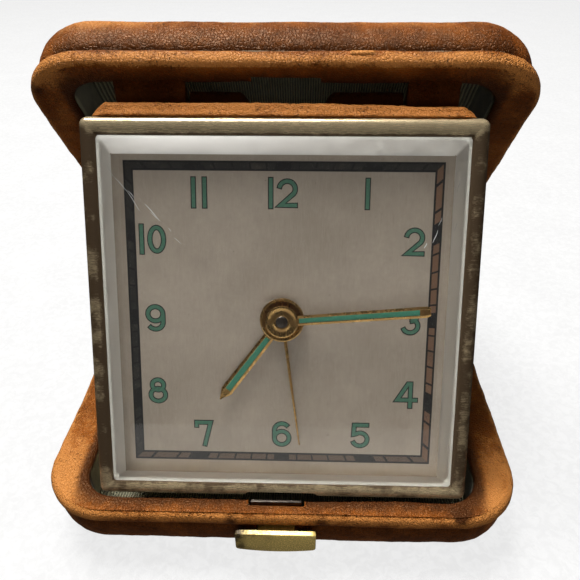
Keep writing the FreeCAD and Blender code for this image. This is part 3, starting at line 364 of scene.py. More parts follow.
LEATHER_BASE = leather("leather_base")
LEATHER_LID = leather("leather_lid")
LEATHER_CLOCK = leather("leather_clock", (0.95, 0.90, 0.85))
# Hinge ears and flap: the same leather made much darker as painted shade, for the shade under the lid's lip.
LEATHER_HINGE_SHADED = leather("leather_hinge_painted_shade", (0.20, 0.16, 0.14))
LINING = ribbed_cloth("ribbed_lining")
BRASS_BEZEL = aged_brass("brass_bezel", CLOCK_TURN, (0.80, 0.64, 0.39), (0.10, 0.064, 0.034))
BRASS_LATCH = aged_brass("brass_latch", 0.0, (1.0, 0.74, 0.24), (0.07, 0.046, 0.022), (0.5, 0.5, 0.5), 0.30)
BRASS_HANDS = metal("brass_hands", (0.62, 0.40, 0.15), (0.36, 0.21, 0.08), 0.20, 1.0, CLOCK_TURN)
BRASS = metal("brass_movement", (0.78, 0.57, 0.26), (0.60, 0.41, 0.16), 0.26, 2.5, CLOCK_TURN)
BRASS_CASE = aged_brass("brass_case", CLOCK_TURN, (0.62, 0.45, 0.21), (0.24, 0.15, 0.06), (0.08, 1.0, 1.0))
STEEL = metal("steel", (0.50, 0.49, 0.47), (0.36, 0.35, 0.34), 0.26, 2.0)
DARK_STEEL = metal("dark_steel", (0.12, 0.105, 0.09), (0.06, 0.05, 0.045), 0.34, 1.5)
SPRING_STEEL = metal("spring_steel", (0.22, 0.24, 0.30), (0.15, 0.16, 0.20), 0.22, 1.0)
BOARD = pressed_board("pressed_board")
GLASS = clear_glass("crystal_glass")
BEVEL = hazy_bevel("crystal_bevel")
DIAL = satin_dial("dial_silver", CLOCK_TURN)
SEAT = paint("seat_ring", (0.86, 0.86, 0.79), (0.76, 0.75, 0.68), 0.5, 3.0, CLOCK_TURN)
INK = paint("black_ink", (0.012, 0.012, 0.013), (0.05, 0.047, 0.045), 0.45, 0.4)
COPPER = paint("copper_cells", (0.20, 0.115, 0.072), (0.13, 0.075, 0.05), 0.4, 2.5, CLOCK_TURN)
# Umber and slate cells are painted shade for the bottom, top and left sides of the minute track.
UMBER_PAINTED_SHADE = paint("umber_cells_painted_shade", (0.13, 0.092, 0.070), (0.07, 0.052, 0.043), 0.4, 2.0, CLOCK_TURN)
SLATE_PAINTED_SHADE = paint("slate_cells_painted_shade", (0.028, 0.027, 0.026), (0.065, 0.056, 0.048), 0.4, 2.0, CLOCK_TURN, (0.5, 0.75))
TEAL = paint("teal_lume", (0.070, 0.190, 0.132), (0.115, 0.235, 0.175), 0.6, 0.5, CLOCK_TURN)
TEAL_BRIGHT = paint("teal_hand_lume", (0.045, 0.215, 0.140), (0.09, 0.27, 0.19), 0.6, 0.5, CLOCK_TURN)
SCRATCH = paint("glass_scratch", (0.72, 0.74, 0.74), (0.5, 0.52, 0.52), 0.5, 0.6)
FLOOR = plaster("pale_floor")


# ---- mesh helpers ---------------------------------------------------------------------------------
def make(name, points, faces, material, place=BASE, smooth=True):
    """A mesh object from points in millimetres in one of the local frames."""
    mesh = bpy.data.meshes.new(name)
    cloud = np.asarray(points, float).reshape(-1, 3)
    turn = np.array(place.to_3x3())
    world = cloud * MM @ turn.T + np.array(place.translation)
    mesh.from_pydata(world.tolist(), [], faces)
    mesh.validate()
    tidy = bmesh.new()
    tidy.from_mesh(mesh)
    bmesh.ops.recalc_face_normals(tidy, faces=tidy.faces)
    tidy.to_mesh(mesh)
    tidy.free()
    mesh.materials.append(material)
    mesh.shade_smooth() if smooth else mesh.shade_flat()
    made = bpy.data.objects.new(name, mesh)
    bpy.context.scene.collection.objects.link(made)
    return made


def finish(piece, body, slot, *nodes):
    """Puts a piece on the body it rides on and hides the CAD nodes it stands for; slot is not used."""
    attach(piece, body)
    if nodes:
        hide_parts(*nodes)
    return piece


def sharpen(piece, degrees):
    """Smooth shading that stays crisp at edges sharper than an angle."""
    piece.data.shade_smooth()
    piece.data.set_sharp_from_angle(angle=math.radians(degrees))


def paint_attribute(piece, name, values):
    """Stores one number for each point of a mesh, for the materials to read."""
    made = piece.data.attributes.new(name, "FLOAT", "POINT")
    made.data.foreach_set("value", np.asarray(values, np.float32))


def positions(piece):
    """A mesh's points as an array, in metres."""
    flat = np.zeros(len(piece.data.vertices) * 3)
    piece.data.vertices.foreach_get("co", flat)
    return flat.reshape(-1, 3)


def into(points, place):
    """World points in metres as points of a local frame in millimetres."""
    return (points - np.array(place.translation)) @ np.array(place.to_3x3()) / MM


def ripple(points, size, seed):
    """Smooth noise from about -1 to 1 with features of size millimetres, at points in metres."""
    scaled = points / (size * MM) + seed * 17.3
    return np.array([noise.noise(Vector(p)) for p in scaled])


def dent(piece, waves, mask=None):
    """Moves a mesh's points along their normals by layers of (size, height) noise, millimetres."""
    co = positions(piece)
    normals = np.array([n.vector for n in piece.data.vertex_normals]).reshape(-1, 3)
    height = np.zeros(len(co))
    for i, (size, amount) in enumerate(waves):
        height += amount * MM * ripple(co, size, i + 1)
    if mask is not None:
        height *= mask
    co = co + normals * height[:, None]
    piece.data.vertices.foreach_set("co", co.ravel())
    piece.data.update()


def ring(half, y0, y1, r, z, per_side, per_corner):
    """A rounded rectangle with a fixed count of points, anticlockwise from its right side."""
    r = max(min(r, half - 0.05, (y1 - y0) / 2 - 0.05), 0.02)
    points = []
    centres = [(half - r, y1 - r), (-half + r, y1 - r), (-half + r, y0 + r), (half - r, y0 + r)]
    for i, (cx, cy) in enumerate(centres):
        for k in range(per_corner + 1):
            a = math.pi / 2 * (i + k / per_corner)
            points.append((cx + r * math.cos(a), cy + r * math.sin(a), z))
        nx, ny = centres[(i + 1) % 4]
        b = math.pi / 2 * (i + 1)
        start = np.array(points[-1][:2])
        stop = np.array((nx + r * math.cos(b), ny + r * math.sin(b)))
        for k in range(1, per_side):
            px, py = start + (stop - start) * k / per_side
            points.append((px, py, z))
    return points


def band_faces(rings, count, closed=False):
    """Quads between consecutive rings of count points."""
    faces = []
    last = rings if closed else rings - 1
    for j in range(last):
        a, b = j * count, ((j + 1) % rings) * count
        for i in range(count):
            k = (i + 1) % count
            faces.append((a + i, a + k, b + k, b + i))
    return faces


def capped(rings, count):
    """Faces of rings closed by a fan at each end; the two middle points follow the rings."""
    faces = band_faces(rings, count)
    total = rings * count
    last = total - count
    for i in range(count):
        k = (i + 1) % count
        faces.append((total, k, i))
        faces.append((total + 1, last + i, last + k))
    return faces


def curve_point(p0, p1, p2, p3, t):
    """A point of a Catmull-Rom curve, from p1 at 0 to p2 at 1."""
    return 0.5 * (2 * p1 + (p2 - p0) * t + (2 * p0 - 5 * p1 + 4 * p2 - p3) * t ** 2
                  + (3 * p1 - p0 - 3 * p2 + p3) * t ** 3)


def spline(rows, steps):
    """Catmull-Rom rows between control rows; steps holds the count for each stretch."""
    rows = np.asarray(rows, float)
    padded = np.vstack([2 * rows[0] - rows[1], rows, 2 * rows[-1] - rows[-2]])
    out = []
    for i, count in enumerate(steps):
        out += [curve_point(*padded[i:i + 4], k / count) for k in range(count)]
    out.append(rows[-1])
    return np.array(out)


def loft(sections):
    """Points and faces of a skin through sections with the same count of points, ends capped."""
    count = len(sections[0])
    points = [p for section in sections for p in section]
    faces = band_faces(len(sections), count)
    faces.append(tuple(range(count)))
    last = (len(sections) - 1) * count
    faces.append(tuple(range(last + count - 1, last - 1, -1)))
    return points, faces


def lofted(name, sections, material, place, degrees):
    """A lofted piece whose edges sharper than an angle stay crisp."""
    points, faces = loft(sections)
    piece = make(name, points, faces, material, place)
    sharpen(piece, degrees)
    return piece


def turned_points(profile, segments):
    """Rings of points about local Z from a profile of (radius, height)."""
    points = []
    for r, z in profile:
        for i in range(segments):
            a = 2 * math.pi * i / segments
            points.append((r * math.cos(a), r * math.sin(a), z))
    return points


def lathe(name, profile, material, place, segments):
    """A turned piece about local Z, closed at both ends."""
    points = turned_points(profile, segments)
    points += [(0, 0, profile[0][1]), (0, 0, profile[-1][1])]
    piece = make(name, points, capped(len(profile), segments), material, place)
    sharpen(piece, 40)
    return piece


def join(name, pieces):
    """One object from several, keeping their materials."""
    for piece in bpy.context.selected_objects:
        piece.select_set(False)
    for piece in pieces:
        piece.select_set(True)
    bpy.context.view_layer.objects.active = pieces[0]
    bpy.ops.object.join()
    pieces[0].name = name
    pieces[0].data.name = name
    return pieces[0]


def soft_box(name, low, high, edge, material, place=BASE):
    """A block with bevelled edges."""
    block = bmesh.new()
    bmesh.ops.create_cube(block, size=1.0)
    size = [b - a for a, b in zip(low, high)]
    middle = [(a + b) / 2 for a, b in zip(low, high)]
    for v in block.verts:
        v.co = Vector([m + c * s for m, c, s in zip(middle, v.co, size)])
    bmesh.ops.bevel(block, geom=block.edges[:], offset=edge, segments=3, profile=0.5, affect="EDGES")
    points = [v.co[:] for v in block.verts]
    faces = [tuple(v.index for v in f.verts) for f in block.faces]
    block.free()
    piece = make(name, points, faces, material, place)
    sharpen(piece, 40)
    return piece


# ---- leather covers and linings -------------------------------------------------------------------
PER_SIDE, PER_CORNER = 110, 34
RING_COUNT = 4 * (PER_SIDE + PER_CORNER)


def shell(name, rows, material, place):
    """A closed skin from rows of (side, front, back inset, corner radius, height, wear, dirt and painted shade).
    """
    points, wear, dirt_and_painted_shade = [], [], []
    for side, front, back, r, z, rubbed, darkening in rows:
        points += ring(CASE_HALF - side, CASE_FRONT + front, CASE_BACK - back, r, z, PER_SIDE, PER_CORNER)
        wear += [rubbed] * RING_COUNT
        dirt_and_painted_shade += [darkening] * RING_COUNT
    middle_y = (CASE_FRONT + CASE_BACK) / 2
    points += [(0, middle_y, rows[0][4]), (0, middle_y, rows[-1][4])]
    wear += [rows[0][5], rows[-1][5]]
    dirt_and_painted_shade += [rows[0][6], rows[-1][6]]
    piece = make(name, points, capped(len(rows), RING_COUNT), material, place)
    # The side lips get more wear on their tops and less of the dirt and painted shade.
    across_x = np.abs(np.array(points)[:, 0])
    side = np.clip((across_x - 33.5) / 1.5, 0, 1)
    wear = np.array(wear) + 0.30 * side * (np.array(points)[:, 2] > 12.3)
    paint_attribute(piece, "wear", wear)
    paint_attribute(piece, "dirt_and_painted_shade", np.array(dirt_and_painted_shade) * (1 - 0.8 * side))
    return piece


def even(inset, z, wear=0.0, dirt_and_painted_shade=0.0):
    """A row with the same inset on all four sides."""
    return (inset, inset, inset, max(CORNER_R - inset, 3.0), z, wear, dirt_and_painted_shade)


def cover(name, material, place, body, node, scuffs, front):
    """Leather of one half: lip, rubbed edge, groove, padded flank and floor, with its flesh side."""
    t = LEATHER_T

    def lip(share, z, wear=0.0, dirt_and_painted_shade=0.0):
        """A row part way from the mouth's edge (0) to the outer edge (1)."""
        insets = [width * (1 - share) for width in (LIP[0], front, LIP[2])]
        return (*insets, MOUTH_R + (CORNER_R - MOUTH_R) * share, z, wear, dirt_and_painted_shade)

    inner = [
        even(34.0, t), even(20.0, t), even(14.0, t + 0.1), even(7.5, t + 1.3), even(4.4 + t * 0.7, 2.9),
        even(2.0 + t, 4.6), even(1.0 + t, 6.6), even(1.0 + t, 9.6), even(1.7, 10.6), even(1.7, 12.05),
        lip(0.5, 12.15), lip(0.06, 12.1),
    ]
    # The last number of each outer row darkens the leather: painted shade on the lip's face and on the flank below
    # the groove, with dirt and painted shade in the groove.
    outer = [
        lip(0.0, 12.35, 0.0, 1.2), lip(0.05, 12.85, 0.0, 1.1), lip(0.16, 13.0, 0.0, 0.95),
        lip(0.5, 12.98, 0.0, 0.55), lip(0.78, 13.0, 0.0, 0.15), even(0.75, 12.86, 0.4),
        even(0.25, 12.45, 0.8),
        even(0.03, 11.8, 0.7), even(0.06, 11.0, 0.35), even(0.4, 10.45, 0.05, 0.6),
        even(1.4, 10.15, 0.0, 1.0), even(1.35, 9.8, 0.0, 0.9), even(1.05, 9.35, 0.0, 0.75),
        even(0.8, 8.5, 0.0, 0.65), even(0.85, 7.0, 0.0, 0.55),
        even(1.35, 5.2, 0.15, 0.25), even(2.5, 3.4, 0.50), even(4.6, 2.0, 0.60), even(8.2, 0.95, 0.30),
        even(13.0, 0.25, 0.28), even(16.5, 0.05, 0.22), even(24.0, 0.0, 0.15), even(34.0, 0.0, 0.10),
    ]
    inner_steps = [1, 1, 3, 2, 2, 2, 1, 1, 1, 4, 1]
    outer_steps = [3, 3, 9, 9, 5, 3, 3, 3, 3, 3, 2, 2, 3, 5, 6, 6, 7, 9, 9, 5, 6, 6]
    rows = np.vstack([spline(inner, inner_steps), spline(outer, outer_steps)])
    piece = shell(name, rows, material, place)
    local = into(positions(piece), place)
    marks = {key: np.zeros(len(local), np.float32) for key in ("wear", "dirt_and_painted_shade")}
    for key, values in marks.items():
        piece.data.attributes[key].data.foreach_get("value", values)
    for x, y, z, reach, key, amount in scuffs:
        far = np.linalg.norm(local - np.array((x, y, z)), axis=1)
        marks[key] += amount * np.exp(-((far / reach) ** 2))
    for key, values in marks.items():
        piece.data.attributes[key].data.foreach_set("value", values.astype(np.float32))
    inside = (sum(inner_steps) + 1) * RING_COUNT
    mask = np.zeros(len(piece.data.vertices))
    mask[inside:-2] = 1.0
    floor_start = inside + sum(outer_steps[:19]) * RING_COUNT
    mask[floor_start:] = 0.15
    dent(piece, [(16.0, 0.22), (4.5, 0.10), (1.4, 0.055), (0.55, 0.03)], mask)
    return finish(piece, body, "leather", node)


def lining(name, place, body, node):
    """Fabric tray: walls under the lip, a slanted hem and a dished floor."""
    t = LINING_T
    floor = LEATHER_T + 0.45

    def wall(extra, z):
        return (LIP[0] - extra, LIP[1] - extra, LIP[2] - extra, MOUTH_R + extra, z, 0.0, 0.0)

    outside = [
        (36.0, 36.0, 36.0, 2.0, floor, 0, 0), (14.0, 14.0, 14.0, 4.0, floor, 0, 0),
        (9.2, 8.8, 8.8, 4.0, floor + 1.0, 0, 0), wall(t - 0.1, 5.0), wall(t - 0.1, 12.1),
    ]
    inside = [
        wall(0.02, 12.1), wall(0.02, 8.0), wall(0.0, 5.4), wall(-0.7, 4.5),
        (9.6, 9.2, 9.2, 4.0, floor + 1.0 + t, 0, 0),
        (14.5, 14.5, 14.5, 4.0, floor + t, 0, 0), (36.0, 36.0, 36.0, 2.0, floor + t, 0, 0),
    ]
    rows = np.vstack([outside, spline(inside, [4, 3, 3, 4, 4, 6])])
    piece = shell(name, rows, LINING, place)
    return finish(piece, body, "lining", node)


# worn or dark places of each cover: point in the half's own frame, reach in millimetres, what and how much
BASE_SCUFFS = [
    (29.0, -38.9, 12.4, 1.1, "dirt_and_painted_shade", 1.6), (30.5, -38.6, 12.2, 0.8, "dirt_and_painted_shade", 1.4),
    (34.5, -36.5, 12.7, 4.0, "wear", 0.7), (-35.0, -36.0, 12.7, 5.0, "wear", 0.6),
    (-37.5, -30.0, 12.7, 4.5, "wear", 0.5), (37.5, -28.0, 12.7, 4.0, "wear", 0.4),
    (-7.6, -40.0, 11.5, 1.2, "dirt_and_painted_shade", 0.9), (6.9, -40.0, 11.5, 1.2, "dirt_and_painted_shade", 0.9),
]
LID_SCUFFS = [
    (34.0, -37.0, 12.6, 3.0, "wear", 0.8), (-34.0, -37.5, 12.6, 3.0, "wear", 0.7),
    (37.6, -33.5, 12.6, 1.3, "dirt_and_painted_shade", 0.9), (12.0, -40.0, 12.3, 9.0, "wear", 0.25),
    (-24.0, -40.0, 12.3, 8.0, "wear", 0.3), (28.0, -38.0, 4.0, 7.0, "wear", 0.5),
]
LID_LIP = 4.5                 # the lid's front lip, pushed inwards by use
base_cover = cover("base_leather_cover", LEATHER_BASE, BASE, "case_base", "base_leather", BASE_SCUFFS, LIP[1])
lid_cover = cover("lid_leather_cover", LEATHER_LID, LID, "lid", "lid_leather", LID_SCUFFS, LID_LIP)
base_lining = lining("base_ribbed_lining", BASE, "case_base", "base_lining")
lid_lining = lining("lid_ribbed_lining", LID, "lid", "lid_lining")


def subtract(piece, cutter):
    """Takes one closed mesh out of another and removes the cutter."""
    cut = piece.modifiers.new("cut", "BOOLEAN")
    cut.object = cutter
    cut.operation = "DIFFERENCE"
    cut.solver = "EXACT"
    bpy.context.view_layer.objects.active = piece
    bpy.ops.object.modifier_apply(modifier="cut")
    bpy.data.objects.remove(cutter)


def carve(piece, boxes, place):
    """Cuts boxes, each (low corner, high corner) in a local frame, out of a closed mesh."""
    for low, high in boxes:
        subtract(piece, soft_box("cutter", low, high, 0.12, STEEL, place))


LATCH_STEM = ((LATCH_X - 3.2, -42, 7.4), (LATCH_X + 3.2, -36, 9.6))
LATCH_RISE = ((LATCH_X - 4.6, -37.9, 7.4), (LATCH_X + 4.6, -35.6, 14.0))
LATCH_SEAT = (
    (LATCH_X - LATCH_HALF - 0.2, -43, 4.4),
    (LATCH_X + LATCH_HALF + 0.2, CASE_FRONT + 0.5, LATCH_TOP + 0.2),
)
HOOK_NOTCH = ((-5.8, -37.0, 9.0), (4.6, -35.0, 14.0))
carve(base_cover, [LATCH_STEM, LATCH_RISE, LATCH_SEAT], BASE)
carve(base_lining, [LATCH_STEM, LATCH_RISE], BASE)
carve(lid_cover, [HOOK_NOTCH], LID)
carve(lid_lining, [HOOK_NOTCH], LID)

tab = soft_box("lid_lifted_tab", (-13.4, -40.25, 10.7), (-9.8, -39.5, 11.5), 0.3, LEATHER_LID, LID)
paint_attribute(tab, "wear", [1.0] * len(tab.data.vertices))
paint_attribute(tab, "dirt_and_painted_shade", [0.0] * len(tab.data.vertices))
finish(tab, "lid", "leather")


def across(name, xs, section, material, place, waves, wear, body, slot, *nodes):
    """A leather piece lofted along X: section(x) gives its closed outline as (y, z) points."""
    sections = [[(x, y, z) for y, z in section(x)] for x in xs]
    points, faces = loft(sections)
    piece = make(name, points, faces, material, place)
    local = np.array([p[1:] for p in points])
    paint_attribute(piece, "wear", [wear(p[0], y, z) for p, (y, z) in zip(points, local)])
    paint_attribute(piece, "dirt_and_painted_shade", np.zeros(len(points)))
    dent(piece, waves)
    sharpen(piece, 60)
    return finish(piece, body, slot, *nodes)


def smooth_outline(corners, steps=5):
    """A closed curve through (y, z) corners."""
    rows = np.asarray(corners, float)
    closed = np.vstack([rows[-1:], rows, rows[:2]])
    out = []
    for i in range(len(rows)):
        out += [curve_point(*closed[i:i + 4], k / steps) for k in range(steps)]
    return np.array(out)


# the hinge axis seen in a half's own frame
HINGE_HALF = LID.inverted() @ HINGE / MM
WALL = CASE_FRONT + LIP[1]


def ear_section(squeeze):
    """From the lip's face over the hinge barrel and back to the wall under the lip."""
    y, z = HINGE_HALF.y, HINGE_HALF.z
    r = 1.3
    top = [(WALL - 0.5, CASE_DEPTH - 0.45), (WALL + 0.15, CASE_DEPTH - 0.02), (WALL + 1.3, CASE_DEPTH + 0.75),
           (WALL + 3.0, z + r - 0.45), (y - 1.0, z + r - 0.02), (y + 0.3, z + r), (y + r - 0.1, z + 0.4)]
    low = [(y + r - 0.3, z - 0.7), (y, z - r), (y - 2.0, z - r), (WALL + 1.0, CASE_DEPTH - 0.6),
           (WALL + 0.6, CASE_DEPTH - 2.0), (WALL + 0.05, CASE_DEPTH - 2.0), (WALL - 0.25, CASE_DEPTH - 0.9)]
    outline = smooth_outline(top + low)
    middle = outline.mean(0)
    return middle + (outline - middle) * squeeze


def ends(x0, x1, soft, count):
    """Places along X, closer together near both ends."""
    middle = np.linspace(x0 + soft, x1 - soft, count)
    lead = [x0, x0 + soft * 0.12, x0 + soft * 0.4]
    return [*lead, *middle, x1 - soft * 0.4, x1 - soft * 0.12, x1]


def end_squeeze(x, x0, x1, soft, least):
    """Size of a section near the rounded ends of a piece, from least to 1."""
    near = min(x - x0, x1 - x) / soft
    share = min(max(near, 0.0), 1.0)
    return least + (1 - least) * math.sqrt(1 - (1 - share) ** 2)


def ear(name, x0, x1, nodes=()):
    """Leather ear of the lid that covers one end of the clock hinge."""
    def section(x):
        return ear_section(end_squeeze(x, x0, x1, 0.7, 0.82))

    def wear(x, y, z):
        return 0.35 if z > HINGE_HALF.z + 0.9 else 0.1

    return across(name, ends(x0, x1, 0.7, 22), section, LEATHER_HINGE_SHADED, LID,
                  [(3.0, 0.12), (1.0, 0.05)], wear, "lid", "leather", *nodes)


EAR_LEFT, EAR_RIGHT = (14.8, 25.5), (-26.2, -18.4)      # along the lid's own X
CENTRE_X = CLOCK_ORIGIN.x / MM
ear("lid_hinge_ear_left", EAR_LEFT[0] - CENTRE_X, EAR_LEFT[1] - CENTRE_X, ("clock_hinge_bracket",))
ear("lid_hinge_ear_right", EAR_RIGHT[0] - CENTRE_X, EAR_RIGHT[1] - CENTRE_X)

FLAP = (-14.6, 18.2)
FLAP_CUT = (-7.0, 7.8)
CREST = 2.9                   # leather fold above the clock hinge axis


def flap_height(x):
    """1 where the flap reaches over its barrel, 0 in the middle of the cut-out."""
    left = (x - FLAP_CUT[0]) / 3.4
    right = (FLAP_CUT[1] - x) / 3.4
    inside = min(max(min(left, right), 0.0), 1.0)
    return 1 - inside ** 2 * (3 - 2 * inside)


def flap_section(x):
    """Outline of the leather fold on the clock hinge, low inside its cut-out."""
    lift = flap_height(x)
    y, z = HINGE_UP, -HINGE_DEEP
    low = FRAME_HALF + 0.02
    top = y + CREST
    high = [
        (low + 0.75 + lift * 0.6, z + 1.6), (low + 0.85 + lift * 1.6, z + 1.0),
        (low + 0.85 + lift * (top - low - 1.5), z + 0.75),
        (low + 0.85 + lift * (top - low - 0.85), z + 0.1),
        (low + 0.8 + lift * (top - low - 1.4), z - 0.65),
        (low + 0.7 + lift * 1.4, z - 1.1), (low + 0.65 + lift * 0.5, z - 1.7),
    ]
    rest = [
        (low + 0.5, z - 3.2), (low + 0.45, -12.3), (low - 0.35, -12.4), (low - 0.4, -9.0),
        (low - 0.3, z + 1.2), (low + 0.1, z + 1.7),
    ]
    return smooth_outline(high + rest, 4)


across("clock_hinge_flap_leather", ends(*FLAP, 0.8, 64), flap_section, LEATHER_HINGE_SHADED, CLOCK,
       [(3.0, 0.10), (0.9, 0.05)], lambda x, y, z: 0.05, "clock", "leather", "clock_hinge_flap")

STRIP_HALF = FRAME_HALF - 2.0


def strip_section(x):
    """Crowned strip glued on the clock's top edge, cut aslant at both ends."""
    near = (STRIP_HALF - abs(x)) / 1.8
    share = min(max(near, 0.0), 1.0)
    low = FRAME_HALF
    high = low + 0.35 + 1.75 * share ** 0.6 * (1 - 0.30 * max(x, 0) / STRIP_HALF)
    front = -0.75 - 0.4 * (1 - share)
    back = min(high - low - 0.7, 0.75)
    outline = [
        (low + 0.02, front), (low + 0.5 * (high - low), front - 0.02), (high - 0.25, front - 0.3),
        (high, -1.75), (high - 0.1, -2.6), (low + 0.4 + back, -3.9), (low + 0.15 + back, -5.0),
        (low + 0.02, -5.3),
    ]
    return smooth_outline(outline, 4)


def strip_wear(x, y, z):
    return 0.85 if y > FRAME_HALF + 0.3 else 0.6


across("clock_top_strip_leather", ends(-STRIP_HALF, STRIP_HALF, 1.8, 190), strip_section,
       LEATHER_CLOCK, CLOCK, [(5.0, 0.10), (1.1, 0.09), (0.45, 0.05)], strip_wear,
       "clock", "leather", "top_leather_strip")


def make_spine_strip():
    """Leather that bridges the two halves round the outside of the spine hinge."""
    half, reach, skin = 31.0, 0.98, 0.45
    radius_in, radius_out = 1.08, 1.52
    centre = np.array((SPINE.y, SPINE.z)) / MM
    base_end, lid_end = -math.pi / 2, math.radians(90 - LID_OPENING)
    away = np.array((math.cos(lid_end), math.sin(lid_end)))
    side = np.array((away[1], -away[0]))
    down = np.array((0.0, -1.0))
    back = np.array((-1.0, 0.0))
    legs = (2.2, 4.0, 6.4)
    steps = 26
    turns = [base_end + (lid_end - base_end) * k / steps for k in range(2, steps - 1)]

    def bend(radius):
        return [centre + radius * np.array((math.cos(a), math.sin(a))) for a in turns]

    def leg(across, along, offset, lengths):
        return [centre + across * offset + along * d for d in lengths]

    outside = leg(back, down, reach - skin, legs[::-1]) + bend(radius_out)
    outside += leg(-side, away, reach - skin, legs)
    inside = leg(back, down, reach, legs[::-1]) + bend(radius_in) + leg(-side, away, reach, legs)
    outline = outside + inside[::-1]
    sections = [[(x, y, z) for y, z in outline] for x in ends(-half, half, 0.6, 60)]
    points, faces = loft(sections)
    piece = make("spine_leather_strip", points, faces, LEATHER_BASE)
    paint_attribute(piece, "wear", [0.35] * len(points))
    paint_attribute(piece, "dirt_and_painted_shade", [0.15] * len(points))
    sharpen(piece, 60)
    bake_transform(piece)


make_spine_strip()


# ---- bezel, crystal and dial ----------------------------------------------------------------------
def square_rings(rows, per_side, per_corner):
    """Rings from rows of (half side, corner radius, height)."""
    points = []
    for half, r, z in rows:
        points += ring(half, -half, half, r, z, per_side, per_corner)
    return points, 4 * (per_side + per_corner)


def make_bezel():
    """Square brass frame with soft edges, bright on top and darkened on its sides and bottom as painted shade,
    with a notch in its lower edge.
    """
    h, w = FRAME_HALF, BEZEL_WIDTH
    profile = [
        (0.62, -5.0), (0.05, -5.0), (0.0, -4.9), (0.0, -1.25), (0.05, -0.85), (0.2, -0.48),
        (0.48, -0.18), (0.85, -0.03), (1.3, 0.0), (1.75, -0.07), (w - 0.55, -0.24), (w - 0.28, -0.40),
        (w - 0.1, -0.62), (w - 0.05, -0.8), (w - 0.05, -1.45), (w - 0.35, -1.45), (0.62, -1.2),
    ]
    rows = [(h - u, max(1.25 - u, 0.12), z) for u, z in profile]
    points, count = square_rings(rows, 60, 8)
    faces = band_faces(len(rows), count, closed=True)
    piece = make("bezel_frame", points, faces, BRASS_BEZEL, CLOCK)
    notch_half, notch_deep = 6.2, 0.9
    outline = [(-notch_half - 0.5, -h - 1), (notch_half + 0.5, -h - 1), (notch_half + 0.35, -h + 0.1)]
    outline += [(notch_half - 0.3 * k, -h + notch_deep * math.sin(math.pi / 2 * k / 3)) for k in range(1, 4)]
    outline += [(-x, y) for x, y in outline[:1:-1]]
    sections = [[(x, y, z) for x, y in outline] for z in (-3.4, 1.0)]
    subtract(piece, lofted("notch_cutter", sections, BRASS_BEZEL, CLOCK, 50))
    x, y, z = into(positions(piece), CLOCK).T
    side = np.clip((np.abs(x) - np.abs(y)) / 1.5, 0, 1)
    bottom = np.clip((-y - np.abs(x)) / 1.5 + 0.5, 0, 1) * (y < 0)
    inner = np.clip((FRAME_HALF - 2.1 - np.maximum(np.abs(x), np.abs(y))) / 0.35, 0, 1)
    # Painted shade: the sides and the bottom of the frame are darkened and the top stays bright; the inner edge
    # and the back are darkened too.
    tarnish_and_painted_shade = 0.05 + 0.75 * side + 0.45 * bottom + 0.9 * inner
    tarnish_and_painted_shade += 0.35 * np.clip((-z - 1.0) / 0.6, 0, 1)
    paint_attribute(piece, "tarnish_and_painted_shade", tarnish_and_painted_shade)
    sharpen(piece, 40)
    finish(piece, "clock", "aged_brass", "bezel")


def make_crystal():
    """Thick square glass with a wide ground bevel."""
    h = GLASS_HALF
    flat = h - GLASS_BEVEL
    rows = [(h - 0.1, 0.4, GLASS_BACK), (h, 0.5, GLASS_BACK + 0.12), (h, 0.5, 0.4), (h - 0.1, 0.5, 0.52),
            (flat + 0.06, 0.3, GLASS_FRONT - 0.05), (flat - 0.06, 0.3, GLASS_FRONT)]
    points, count = square_rings(rows, 10, 5)
    faces = band_faces(len(rows), count)
    faces.append(tuple(range(count - 1, -1, -1)))
    last = (len(rows) - 1) * count
    faces.append(tuple(range(last, last + count)))
    piece = make("bevelled_crystal", points, faces, GLASS, CLOCK)
    piece.data.materials.append(BEVEL)
    tilt = math.cos(math.radians(20))
    for face in piece.data.polygons:
        facing = face.normal @ NORMAL
        face.material_index = 1 if 0.2 < facing < tilt else 0
    sharpen(piece, 12)
    finish(piece, "clock", "glass", "crystal")


def make_seat():
    """Silvered ring between the crystal and the dial; its opening ends under the crystal's bevel."""
    outside, inside, low, high = 29.5, 26.8, -1.5, -0.65
    rows = [(outside, 0.6, low), (outside, 0.6, high), (inside, 0.5, high), (inside, 0.5, low)]
    points, count = square_rings(rows, 6, 4)
    faces = band_faces(len(rows), count, closed=True)
    piece = make("crystal_seat_ring", points, faces, SEAT, CLOCK, smooth=False)
    finish(piece, "clock", "dial_silver", "crystal_retainer")


def stroke(points, width, z0, z1, closed=False, extra=0.0):
    """A ribbon with mitred turns along a path, as points and faces; extra lengthens its free ends."""
    path = np.asarray(points, float)
    if not closed and extra:
        first = path[0] - path[1]
        last = path[-1] - path[-2]
        path[0] = path[0] + first / np.linalg.norm(first) * extra
        path[-1] = path[-1] + last / np.linalg.norm(last) * extra
    count = len(path)
    offsets = []
    for i in range(count):
        after = path[(i + 1) % count] - path[i] if closed or i < count - 1 else path[i] - path[i - 1]
        before = path[i] - path[i - 1] if closed or i > 0 else after
        after = after / np.linalg.norm(after)
        before = before / np.linalg.norm(before)
        n1 = np.array((-before[1], before[0]))
        n2 = np.array((-after[1], after[0]))
        middle = n1 + n2
        middle /= np.linalg.norm(middle)
        offsets.append(middle * width / 2 / max(middle @ n1, 0.4))
    sides = []
    for p, o in zip(path, offsets):
        left, right = p + o, p - o
        sides.append([(*left, z1), (*right, z1), (*right, z0), (*left, z0)])
    verts = [v for s in sides for v in s]
    faces = band_faces(len(sides), 4, closed=closed)
    if not closed:
        faces.append((0, 1, 2, 3))
        e = (count - 1) * 4
        faces.append((e + 3, e + 2, e + 1, e))
    return verts, faces


def arc(cx, cy, rx, ry, start, stop, steps):
    """Points on an ellipse from one angle to another, in degrees."""
    out = []
    for k in range(steps + 1):
        a = math.radians(start + (stop - start) * k / steps)
        out.append((cx + rx * math.cos(a), cy + ry * math.sin(a)))
    return out


def turned(paths):
    """Paths turned by half a turn."""
    return [([(-x, -y) for x, y in points], closed) for points, closed in paths]


